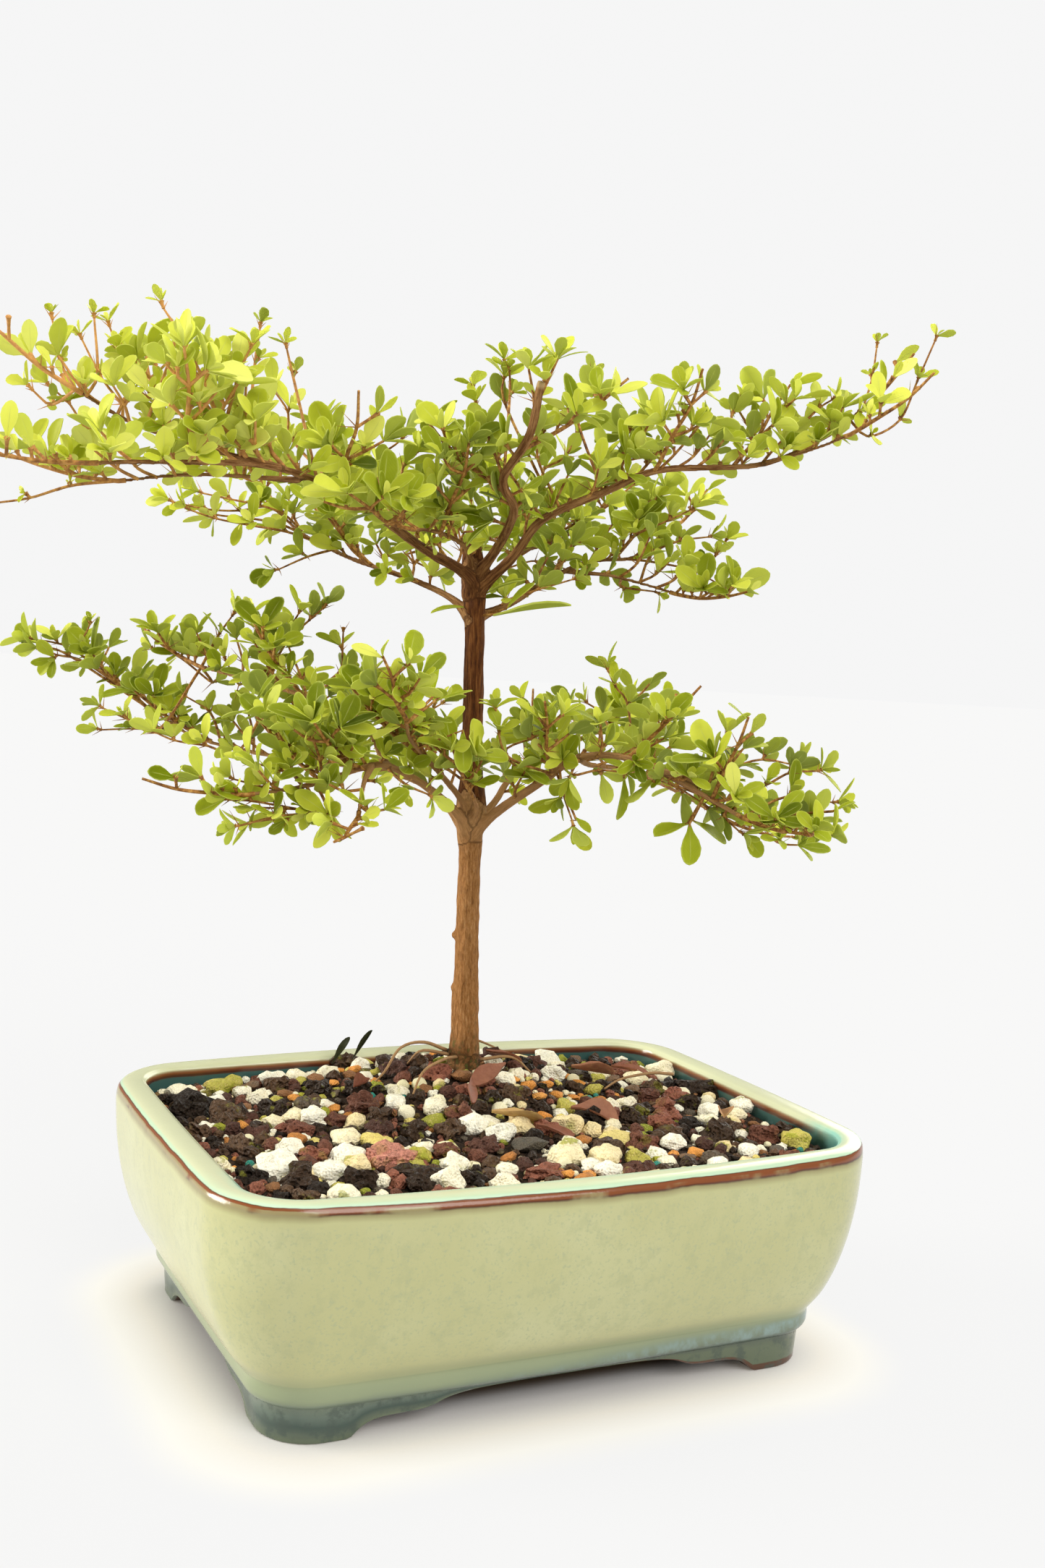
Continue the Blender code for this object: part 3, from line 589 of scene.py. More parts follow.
# %% [markdown]
# ## Glaze
# Celadon runs thin on edges, so the rust-brown clay shows on the rim's crest, and it pools
# blue and milky low on the wall. The `level` attribute says how far round the wall's profile a
# point lies, so one ramp can hold these zones, and noise makes their borders run. Painting by
# height would be simpler, but it can't tell the inner wall from the outer one.

# %% Glaze material
TEAL = (0.045, 0.105, 0.095)
TURQUOISE = (0.26, 0.52, 0.42)
MINT = (0.47, 0.63, 0.44)
CREAM = (0.60, 0.62, 0.40)
RUST = (0.205, 0.060, 0.018)
BURNT = (0.065, 0.020, 0.011)
CELADON = (0.45, 0.445, 0.215)
SAGE = (0.30, 0.34, 0.185)
SLATE = (0.145, 0.180, 0.130)
# Dark teal in the recess under the band: partly pooled glaze, partly painted shade of the recess.
POOL_AND_SHADE = (0.042, 0.070, 0.058)
FOOT_GREEN = (0.104, 0.130, 0.082)
CLAY = (0.085, 0.038, 0.020)
OUTER_SPAN = (8.3, 24.0)


def make_glaze():
    glaze = Paint("celadon_glaze", Specular_IOR_Level=0.5)
    place = glaze.place()
    side = glaze.part(place, "X") - POT_CENTRE.x * MM
    depth = glaze.part(place, "Y") - POT_CENTRE.y * MM
    rightward = glaze.fade(side, -0.060, 0.075)
    runs = glaze.noise(glaze.place((1, 1, 0.35)), 60, detail=4)
    clouds = glaze.noise(place, 28, detail=3)
    speckle = glaze.noise(place, 1100, detail=2)
    level = glaze.attribute("level")
    wavy = level + (runs - 0.5) * 0.55

    front_rim = [(0.0, TEAL), (4.6, TEAL), (5.1, (0.10, 0.24, 0.21)), (5.7, TURQUOISE),
                 (6.2, TURQUOISE), (6.7, MINT), (7.5, CREAM), (9.0, MINT)]
    back_rim = [(0.0, TEAL), (4.92, TEAL), (4.96, BURNT), (5.0, BURNT), (5.12, RUST),
                (5.24, (0.34, 0.26, 0.13)), (5.40, CREAM), (9.0, CREAM)]
    rim_level = (level + (runs - 0.5) * 0.14) / 9
    rims = [glaze.ramp(rim_level, [(at / 9, paint) for at, paint in stops])
            for stops in (front_rim, back_rim)]
    far = glaze.fade(depth + (runs - 0.5) * 0.03, -0.052, -0.035)
    rim = glaze.mix(far, *rims)

    lower = glaze.fade(level, 14.5, 17.0)
    outer = wavy + rightward * (lower * 1.05 - 0.16 * (1 - lower))
    zones = [(8.3, MINT), (8.80, MINT), (8.90, BURNT), (9.00, RUST), (9.62, RUST), (9.80, BURNT),
             (9.94, (0.28, 0.25, 0.11)), (10.4, CELADON), (15.2, CELADON), (16.5, SAGE),
             (17.7, (0.25, 0.29, 0.17)), (18.3, (0.185, 0.23, 0.16)), (18.9, SLATE),
             (19.3, (0.095, 0.130, 0.105)), (19.6, POOL_AND_SHADE), (19.9, (0.085, 0.110, 0.080)),
             (20.3, FOOT_GREEN), (21.0, FOOT_GREEN),
             (21.05, CLAY), (24.0, CLAY)]
    first, last = OUTER_SPAN
    wall = glaze.ramp((outer - first) / (last - first),
                      [((at - first) / (last - first), paint) for at, paint in zones])
    colour = glaze.mix(glaze.fade(level, 8.3, 8.6), rim, wall)

    patches = glaze.noise(place, 48, detail=4)
    worn = glaze.fade(patches + glaze.fade(side, -0.070, -0.094) * 0.14, 0.50, 0.62)
    below = glaze.fade(outer, 9.20, 9.38) * (1 - glaze.fade(outer, 9.85, 10.05))
    colour = glaze.mix(worn * below * 0.85, colour, (0.30, 0.265, 0.125))

    on_wall = glaze.fade(level, 10.2, 11.0) * (1 - glaze.fade(level, 14.5, 16.0))
    pale = glaze.fade(clouds, 0.35, 0.75)
    colour = glaze.mix(on_wall * pale * 0.40, colour, (0.55, 0.56, 0.33))
    mottle = glaze.noise(glaze.place((1, 1, 0.8)), 230, detail=5, roughness=0.7)
    colour = glaze.mix(on_wall * glaze.fade(mottle, 0.47, 0.66) * 0.45, colour,
                       (0.37, 0.385, 0.20))
    colour = glaze.mix(on_wall * glaze.fade(speckle, 0.54, 0.70) * 0.6, colour,
                       (0.35, 0.38, 0.22))
    milk = glaze.noise(glaze.place((1, 1, 0.7)), 260, detail=4, roughness=0.6)
    band = glaze.fade(outer, 17.9, 18.5) * (1 - glaze.fade(outer, 18.9, 19.4))
    colour = glaze.mix(band * glaze.fade(milk, 0.36, 0.68) * (0.06 + rightward * 0.5), colour,
                       (0.25, 0.36, 0.37))
    blots = glaze.noise(place, 170, detail=4, roughness=0.65)
    on_foot = glaze.fade(level, 18.5, 19.1) * (1 - glaze.fade(level, 20.9, 21.0))
    colour = glaze.mix(on_foot * glaze.fade(blots, 0.48, 0.64) * 0.7, colour,
                       (0.050, 0.072, 0.060))
    inside = 1 - glaze.fade(level, 4.4, 4.9)
    colour = glaze.mix(inside * glaze.fade(blots, 0.55, 0.70) * 0.6, colour, (0.22, 0.34, 0.33))
    rough = 0.13 + 0.55 * glaze.fade(level, 20.9, 21.2) + speckle * 0.08
    return glaze.finish(colour, rough, clouds * 3 + speckle * 0.35, 0.0002, 0.35)


pot, last_level = make_pot(make_glaze())
print("pot has", len(pot.data.polygons), "faces and levels to", last_level)

# %% [markdown]
# ## Soil
# Under the grit lies dark, fine stuff. It fills the pot to a little under the rim and is banked
# up round the trunk. A displaced grid would need trimming at the pot's wall, so rings shrink
# from the wall to the trunk instead. They follow the solid's own surface, with small lumps
# added by noise.

# %% Soil surface
GAP = 0.35
BED_RISE = 1.3
SOIL_RINGS = 44
SOIL_EDGE, SOIL_MOUND, MOUND_WIDTH = 59.6, 9.4, 37.0
TRUNK_FOOT = Vector((8.0, 34.0, 69.0))


def soil_height(x, y):
    away = Vector((x, y)) - TRUNK_FOOT.xy
    mound = SOIL_MOUND * math.exp(-(away.length / MOUND_WIDTH) ** 2)
    ripple = 0.5 * math.sin(0.19 * x + 1.1) * math.cos(0.23 * y - 0.4)
    return SOIL_EDGE + mound + ripple


def lumpy(x, y):
    lumps = noise.noise(Vector((x, y, 0)) / 5) + 0.5 * noise.noise(Vector((x, y, 9)) / 2)
    return Vector((x, y, soil_height(x, y) + BED_RISE + 0.7 * lumps - 0.4))


def make_soil(paint):
    rings = [ring(inset + 2 * GAP, height + GAP, corner - GAP)
             for inset, height, corner in smooth(INNER_WALL, 2)]
    edge = ring(RIM[0][0] + 3 * GAP, SOIL_EDGE, RIM[0][2] - GAP)
    for share in np.linspace(1, 0.02, SOIL_RINGS).tolist():
        inner = [TRUNK_FOOT.lerp(point, share) for point in edge]
        rings.append([lumpy(point.x, point.y) for point in inner])
    bm = bmesh.new()
    loft(bm, rings)
    bmesh.ops.recalc_face_normals(bm, faces=bm.faces)
    return new_piece(bm, "soil_bed", [paint], ["soil"])


def make_soil_paint():
    soil = Paint("dark_soil", Specular_IOR_Level=0.2)
    crumbs = soil.cells(soil.place(), 900)
    clods = soil.noise(soil.place(), 500, detail=6, roughness=0.7)
    colour = soil.ramp(clods, [(0.30, (0.010, 0.007, 0.005)), (0.52, (0.035, 0.021, 0.013)),
                               (0.72, (0.095, 0.050, 0.026))])
    return soil.finish(colour, 0.75 + 0.25 * clods, crumbs + clods, 0.0008)


soil_bed = make_soil(make_soil_paint())
print("soil bed has", len(soil_bed.data.polygons), "faces")

# %% [markdown]
# ## Grit
# Bonsai grit is a mix: cream pumice, some of it mossy, black and brown lava, orange and
# red-brown clay chips, a few smooth beads. Modelling each stone would take weeks, and one
# stone copied everywhere would show, so each kind has a handful of templates, and each grain
# is a turned and squashed copy of one. Pumice and large lava are lumpy, pitted balls; the
# rest are convex hulls of scattered points.

# %% Template stones
TEMPLATES = {}
GOLDEN_ANGLE = 2.39996


def keep_template(bm, name):
    mesh = bpy.data.meshes.new(name)
    bm.to_mesh(mesh)
    bm.free()
    TEMPLATES[name] = mesh
    return name


def stamp(bm, name, matrix, values, slot=0):
    """Adds a copy of a template at a place, and gives its vertices the attribute values."""
    start, first_face = len(bm.verts), len(bm.faces)
    copy = TEMPLATES[name].copy()
    copy.transform(matrix)
    bm.from_mesh(copy)
    bpy.data.meshes.remove(copy)
    bm.verts.ensure_lookup_table()
    bm.faces.ensure_lookup_table()
    layers = [(bm.verts.layers.float[key], value) for key, value in values.items()]
    for vert in bm.verts[start:]:
        for layer, value in layers:
            vert[layer] = value
    for face in bm.faces[first_face:]:
        face.material_index = slot


def stone_template(name, rng, points, roughness, flat=1.0):
    """A convex stone of radius 1. Rough ones have hollows pressed into them."""
    bm = bmesh.new()
    for number in range(points):
        level = 1 - 2 * (number + 0.5) / points
        turn = number * GOLDEN_ANGLE + rng.uniform(-0.3, 0.3)
        around = math.sqrt(1 - level * level)
        point = Vector((around * math.cos(turn), around * math.sin(turn), level * flat))
        bm.verts.new(point * rng.uniform(1 - roughness, 1 + roughness * 0.4))
    bmesh.ops.convex_hull(bm, input=bm.verts)
    loose = [vert for vert in bm.verts if not vert.link_faces]
    bmesh.ops.delete(bm, geom=loose, context="VERTS")
    for vert in bm.verts:
        vert.co *= rng.uniform(1 - roughness * 0.5, 1)
    bmesh.ops.recalc_face_normals(bm, faces=bm.faces)
    return keep_template(bm, name)


def crag_template(name, seed, cuts, lump, pit):
    """A lumpy stone of radius 1 with pits, for the grains that are seen well."""
    bm = bmesh.new()
    bmesh.ops.create_icosphere(bm, subdivisions=cuts, radius=1)
    shift = Vector((seed * 7.3, 0, 0))
    for vert in bm.verts:
        here = vert.co.copy()
        swell = lump * noise.noise(here * 1.4 + shift) * 1.6
        hollow = pit * abs(noise.noise(here * 4.2 - shift)) * 2
        flat = max(0.0, here.dot(Vector((0.3, -0.2, 0.93))) - 0.72)
        vert.co = here * (1 + swell - hollow - flat * 0.8)
    return keep_template(bm, name)


KINDS = {
    "pumice": [crag_template(f"pumice {n}", n, 2, 0.24, 0.03) for n in range(7)],
    "lava": [stone_template(f"lava {n}", random.Random(20 + n), 34, 0.34) for n in range(7)],
    "clay": [stone_template(f"clay {n}", random.Random(40 + n), 18, 0.26, 0.6) for n in range(5)],
    "bead": [stone_template(f"bead {n}", random.Random(60 + n), 40, 0.02) for n in range(2)],
}
KINDS["scoria"] = KINDS["lava"]
LARGE_KINDS = {
    "pumice": [crag_template(f"large pumice {n}", 20 + n, 3, 0.26, 0.05) for n in range(7)],
    "lava": [crag_template(f"large lava {n}", 40 + n, 3, 0.42, 0.26) for n in range(7)],
    "clay": KINDS["clay"],
    "bead": KINDS["bead"],
}
LARGE_KINDS["scoria"] = LARGE_KINDS["lava"]
print("stone templates:", {kind: len(names) for kind, names in KINDS.items()})

# %% [markdown]
# ## Where the grains lie
# The stones that stand out lie where the picture shows them, and the next ones where the
# solid's own stones lie. Smaller and smaller grains then fill what is left, as they do in a
# real pot. A particle system would scatter them faster, but with overlaps.

# %% Stones that stand out
STONES, STONE_RADII = 40, (3.2, 5.0)
LARGE_GRAIN = 3.9
ROOTS = [(150, 27, 1.2), (184, 19, 1.4), (232, 14, 1.7), (284, 17, 1.5), (338, 24, 1.2),
         (36, 18, 1.3), (95, 15, 1.4)]
# Grains that stand out in the picture: kind, tint, radius, place.
MARKED = [
    ("pumice", 0.1, 5.4, -79, 54), ("pumice", 0.0, 4.6, -48, 61), ("pumice", 0.1, 4.0, -30, 58),
    ("pumice", 0.0, 4.6, -65, -12), ("pumice", 0.0, 6.4, -73, -28), ("pumice", 0.0, 5.4, -61, -34),
    ("pumice", 0.0, 5.6, -52, -23), ("pumice", 0.2, 4.6, -47, -8), ("pumice", 0.05, 4.8, -25, -36),
    ("pumice", 0.0, 5.0, -2, -17), ("pumice", 0.1, 3.6, -14, -46), ("pumice", 0.25, 5.8, 8, -40),
    ("pumice", 0.3, 5.2, 18, -45), ("pumice", 0.0, 3.8, 36, -43), ("pumice", 0.0, 4.2, 45, -37),
    ("pumice", 0.0, 3.8, 64, -49), ("pumice", 0.0, 5.2, 52, 58), ("pumice", 0.0, 4.6, 89, -8),
    ("pumice", 0.1, 3.2, 35, -51), ("pumice", 0.15, 3.4, -87, -18), ("pumice", 0.1, 3.2, -19, 22),
    ("pumice", 0.4, 3.2, 60, -42), ("pumice", 0.85, 4.6, -67, 55), ("pumice", 0.75, 4.8, 84, -45),
    ("pumice", 0.95, 4.0, -17, -2), ("pumice", 0.8, 3.4, 47, 16), ("pumice", 0.15, 5.2, 87, 40),
    ("pumice", 0.85, 3.2, -36, -34), ("pumice", 0.2, 3.6, 62, 40), ("pumice", 0.0, 3.2, 27, 62),
    ("scoria", 0.25, 5.4, -33, 17), ("scoria", 0.35, 5.2, 77, -38), ("scoria", 0.3, 4.0, -44, 10),
    ("scoria", 0.6, 4.4, -61, -20), ("scoria", 0.6, 3.4, -46, -47), ("scoria", 0.5, 3.6, 80, 34),
    ("scoria", 0.4, 4.2, -58, 4), ("scoria", 0.1, 4.0, -70, 6), ("clay", 0.75, 3.6, -36, -44),
    ("lava", 0.0, 6.4, -82, 34), ("lava", 0.1, 5.8, -58, 26), ("lava", 0.4, 5.6, -74, 22),
    ("lava", 0.55, 5.2, -78, -6), ("lava", 0.2, 5.6, -72, -40), ("lava", 0.1, 5.4, -57, -44),
    ("lava", 0.2, 5.6, 63, -34), ("lava", 0.3, 5.4, 22, -38), ("lava", 0.4, 4.6, -16, -12),
    ("lava", 0.2, 5.0, 47, -12), ("lava", 0.1, 5.0, -40, 40), ("lava", 0.05, 4.6, 70, 54),
    ("lava", 0.0, 4.8, 30, 40), ("lava", 0.1, 4.6, 74, 0), ("lava", 0.3, 4.6, -20, 68),
    ("bead", 0.1, 2.8, -23, 6), ("bead", 0.2, 2.7, 5, -1), ("bead", 0.3, 2.6, -11, 25),
    ("bead", 0.2, 3.0, 83, 3), ("bead", 0.2, 2.8, 79, 12), ("bead", 0.1, 3.2, 84, 32),
    ("bead", 1.0, 1.5, 41, 8), ("bead", 1.0, 1.6, 30, 4), ("bead", 1.0, 1.4, -79, -19),
]
# Long or flat stones: kind, tint, radii, turn, place.
MARKED_LONG = [
    ("scoria", 1.0, (7.8, 5.8, 5.2), 10, -43, -28), ("clay", 0.05, (7.4, 5.0, 4.2), 5, 1, -29),
    ("lava", 0.15, (9.0, 4.0, 3.0), -20, -40, -42), ("lava", 0.08, (10.0, 4.4, 3.8), -28, 88, 14),
    ("pumice", 0.55, (7.4, 3.8, 3.2), 12, 30, -29), ("scoria", 0.55, (6.4, 4.0, 2.2), 0, -4, -51),
]
print(len(MARKED) + len(MARKED_LONG), "stones stand out")


# %% Places of the solid's stones
def edge_distance(x, y, outline):
    """How far a point lies inside a convex outline."""
    nearest = math.inf
    for a, b in zip(outline, outline[1:] + outline[:1]):
        run = (b - a).xy
        nearest = min(nearest, (run.x * (y - a.y) - run.y * (x - a.x)) / run.length)
    return nearest


def root_path(bearing, length, steps=4):
    """A root leaves the trunk's base, follows the soil and dips under it at its end."""
    points = []
    for step in range(steps + 1):
        share = step / steps
        reach = 2 + (length - 2) * share
        angle = math.radians(bearing + 9 * math.sin(5 * share))
        x = TRUNK_FOOT.x + reach * math.cos(angle)
        y = TRUNK_FOOT.y + reach * math.sin(angle)
        points.append(Vector((x, y, soil_height(x, y) + 0.8 - 3.0 * share ** 3)))
    return points


def solid_stones(outline):
    """The places of the solid's own stones, drawn by the same rule in the same order."""
    rng = random.Random(11)
    roots = [root_path(bearing, length) for bearing, length, _ in ROOTS]
    chosen = []
    tries = 0
    while len(chosen) < STONES and tries < 20000:
        tries += 1
        radius = rng.uniform(*STONE_RADII)
        x = rng.uniform(-POT_LENGTH / 2, POT_LENGTH / 2)
        y = rng.uniform(-POT_DEPTH / 2, POT_DEPTH / 2)
        spot = Vector((x, y))
        if edge_distance(x, y, outline) < radius * 1.12 + 0.5:
            continue
        if (spot - TRUNK_FOOT.xy).length < radius + 10:
            continue
        if any((spot - place).length < 0.92 * (radius + other) for place, other in chosen):
            continue
        if any((spot - point.xy).length < radius + 4.5 for root in roots for point in root):
            continue
        chosen.append((spot, radius))
    return chosen


print("the solid has", STONES, "stones")


# %% Laying the grains
# Radii from and to, how close two may lie as a share of their radii, and how many are tried.
SIZES = [(3.4, 4.8, 0.84, 900), (2.4, 3.4, 0.80, 3000), (1.5, 2.4, 0.74, 6000),
         (0.9, 1.5, 0.66, 4500)]


class Patch:
    """Grains laid so far, looked up by square so that close pairs are found fast."""
    SQUARE = 8.0

    def __init__(self):
        self.squares = {}
        self.grains = []

    def near(self, spot):
        column, row = int(spot.x // self.SQUARE), int(spot.y // self.SQUARE)
        for a in (-1, 0, 1):
            for b in (-1, 0, 1):
                yield from self.squares.get((column + a, row + b), ())

    def fits(self, spot, radius, share):
        return all((spot - other).length > share * (radius + size)
                   for other, size in self.near(spot))

    def lay(self, spot, radius, kind, tint, shape=None):
        key = int(spot.x // self.SQUARE), int(spot.y // self.SQUARE)
        self.squares.setdefault(key, []).append((spot, radius))
        self.grains.append((spot, radius, kind, tint, shape))


def choose_kind(rng, radius, from_trunk):
    """Pale pumice, dark lava, red scoria and clay chips in the picture's shares."""
    draw = rng.random()
    if draw < 0.24:
        return "pumice", rng.choice((0.0, 0.0, 0.05, 0.1, 0.2, 0.35, 0.6, 0.8))
    if draw < 0.62:
        return "lava", rng.choice((0.0, 0.05, 0.1, 0.2, 0.3, 0.4, 0.5, 0.7))
    if draw < 0.84:
        return "scoria", rng.choice((0.0, 0.1, 0.25, 0.35, 0.5, 0.6))
    if radius < 2.4 and draw > 0.96:
        return "bead", rng.choice((0.1, 0.2, 0.3, 1.0))
    if radius < 2.8 and draw > 0.93:
        return "pumice", 1.0
    orange = from_trunk < 42
    return "clay", rng.choice((0.7, 0.8, 0.9, 0.45) if orange else (0.1, 0.3, 0.45, 0.6, 0.8))


def lay_grains():
    coarse = (3, 5, 2)
    outline = ring(RIM[0][0] + 3 * GAP, SOIL_EDGE, RIM[0][2] - GAP, coarse)
    patch = Patch()
    solid = solid_stones(outline)
    for kind, tint, radius, x, y in MARKED:
        patch.lay(Vector((x, y)), radius, kind, tint)
    for kind, tint, radii, turn, x, y in MARKED_LONG:
        patch.lay(Vector((x, y)), radii[1], kind, tint, (radii, turn))
    rng = random.Random(5)
    for spot, radius in solid:
        kind, tint = choose_kind(rng, radius, (spot - TRUNK_FOOT.xy).length)
        if patch.fits(spot, radius, 0.75):
            patch.lay(spot, radius, kind, tint)
    for low_radius, high_radius, share, tries in SIZES:
        for _ in range(tries):
            radius = rng.uniform(low_radius, high_radius)
            x, y = rng.uniform(-92, 92), rng.uniform(-70, 70)
            spot = Vector((x, y))
            from_trunk = (spot - TRUNK_FOOT.xy).length
            kind, tint = choose_kind(rng, radius, from_trunk)
            if edge_distance(x, y, outline) < radius * 0.86:
                continue
            if from_trunk < 6.5 + radius:
                continue
            if patch.fits(spot, radius, share):
                patch.lay(spot, radius, kind, tint)
    return patch.grains


GRAINS = lay_grains()
print(len(GRAINS), "grains,", sum(1 for grain in GRAINS if grain[1] > 3), "of them large")

# %% [markdown]
# ## Finishes of the grit
# One material serves each kind. A `tint` attribute, different for each grain, picks its colour
# from a ramp, so a thousand stones need five materials and not a thousand.


# %% Grit materials
# hollow is the colour of the painted shade in a stone's pores.
def stone_paint(name, stops, rough, pores, depth, hollow=(0.03, 0.018, 0.010), moss=0.0):
    paint = Paint(name, Specular_IOR_Level=0.22)
    place = paint.place()
    tint = paint.attribute("tint")
    blotch = paint.noise(place, 420, detail=4)
    pits = paint.cells(place, pores)
    grain = paint.noise(place, pores * 1.7, detail=3)
    colour = paint.ramp(tint + (blotch - 0.5) * 0.18, stops)
    # Painted shade in the pores: the pits turn towards the hollow colour, warm yellow-brown on
    # pumice and near black on the dark stones.
    colour = paint.mix(paint.fade(pits, 0.38, 0.05) * 0.6, colour, hollow)
    if moss:
        growth = paint.noise(place, 170, detail=4, roughness=0.6) + tint * 0.10
        low = paint.fade(paint.noise(place, 60, detail=2), 0.42, 0.60)
        colour = paint.mix(paint.fade(growth, 0.60, 0.68) * low * moss, colour,
                           paint.mix(grain, (0.20, 0.24, 0.015), (0.50, 0.46, 0.04)))
    return paint.finish(colour, rough + grain * 0.2, pits * 2 + grain, depth)


GRIT = {
    "pumice": stone_paint("pumice", [
        (0.0, (0.98, 0.94, 0.77)), (0.2, (0.95, 0.85, 0.56)), (0.4, (0.86, 0.68, 0.34)),
        (0.65, (0.72, 0.60, 0.14)), (1.0, (0.26, 0.28, 0.03))], 0.7, 1300, 0.0003,
        (0.74, 0.56, 0.27), 0.85),
    "lava": stone_paint("lava", [
        (0.0, (0.026, 0.016, 0.010)), (0.2, (0.064, 0.036, 0.020)), (0.4, (0.130, 0.072, 0.038)),
        (0.6, (0.17, 0.100, 0.058)), (0.8, (0.17, 0.14, 0.10))], 0.42, 800, 0.0012,
        (0.010, 0.007, 0.005), 0.5),
    "scoria": stone_paint("scoria", [
        (0.0, (0.085, 0.038, 0.026)), (0.3, (0.17, 0.066, 0.040)), (0.6, (0.32, 0.115, 0.068)),
        (0.8, (0.50, 0.19, 0.13)), (1.0, (0.70, 0.29, 0.21))], 0.6, 1000, 0.0007,
        (0.06, 0.02, 0.012), 0.3),
    "clay": stone_paint("clay_chip", [
        (0.0, (0.085, 0.078, 0.060)), (0.25, (0.15, 0.10, 0.060)), (0.5, (0.30, 0.13, 0.045)),
        (0.7, (0.70, 0.27, 0.050)), (0.9, (0.82, 0.36, 0.080)), (1.0, (0.80, 0.42, 0.14))],
        0.55, 1900, 0.0002),
    "bead": stone_paint("bead", [
        (0.0, (0.90, 0.84, 0.64)), (0.4, (0.74, 0.68, 0.40)), (0.9, (0.04, 0.26, 0.20)),
        (1.0, (0.02, 0.22, 0.17))], 0.45, 2500, 0.00008, (0.5, 0.44, 0.2)),
}


def make_grit():
    meshes = {kind: bmesh.new() for kind in GRIT}
    for bm in meshes.values():
        bm.verts.layers.float.new("tint")
    rng = random.Random(8)
    for spot, radius, kind, tint, shape in GRAINS:
        squash = 1.0 if kind == "bead" else rng.uniform(0.65, 0.9)
        narrow = 1.0 if kind == "bead" else rng.uniform(0.75, 1)
        tip, spin = rng.uniform(-0.5, 0.5), rng.uniform(0, math.tau)
        radii = (radius, radius * narrow, radius * squash)
        if shape:
            radii, tip, spin = shape[0], 0.0, math.radians(shape[1])
        turn = Matrix.Rotation(spin, 4, "Z") @ Matrix.Rotation(tip, 4, "X")
        lift = BED_RISE * 0.6 + radius * rng.uniform(0.10, 0.42)
        place = Vector((spot.x, spot.y, soil_height(spot.x, spot.y) + lift))
        templates = LARGE_KINDS if radius > LARGE_GRAIN else KINDS
        stamp(meshes[kind], rng.choice(templates[kind]),
              Matrix.Translation(place) @ turn @ Matrix.Diagonal((*radii, 1)), {"tint": tint})
    return [new_piece(meshes[kind], f"{kind}_grit", [GRIT[kind]], smooth_angle=52)
            for kind in KINDS]


grit = make_grit()
print("grit:", {piece.name: len(piece.data.polygons) for piece in grit})

# %% [markdown]
# ## Trunk and limbs
# Bark has no seams where a limb leaves the trunk: it swells into a collar. A Skin modifier
# could do that, but it needs every fork in one net of edges. So all the tubes are laid through
# each other, a voxel remesh melts them into one skin, and a little smoothing rounds the
# joints. The bark's furrows are then pressed into the skin along the grain.

# %% The tree's plan
LEAN_BEARING = 154.0
TRUNK = [(-26.0, 0.0, 4.4), (-12.0, 0.0, 5.6), (-3.0, 0.0, 6.6), (1.5, 0.0, 6.0), (6.0, 0.0, 5.0),
         (18.0, 0.3, 4.4), (43.0, 1.0, 3.8), (68.0, 1.6, 3.6), (79.0, 1.9, 4.4), (84.0, 2.0, 5.0),
         (90.0, 2.2, 4.6), (97.0, 2.4, 3.6), (113.0, 3.0, 3.3), (143.0, 4.0, 3.2),
         (152.0, 4.6, 3.7), (160.0, 5.2, 4.1), (166.0, 5.8, 3.4), (171.0, 6.2, 2.4)]
KNOTS = [(27, 170, 1.7), (44, 150, 1.6), (45, 330, 1.5), (60, 250, 1.3)]
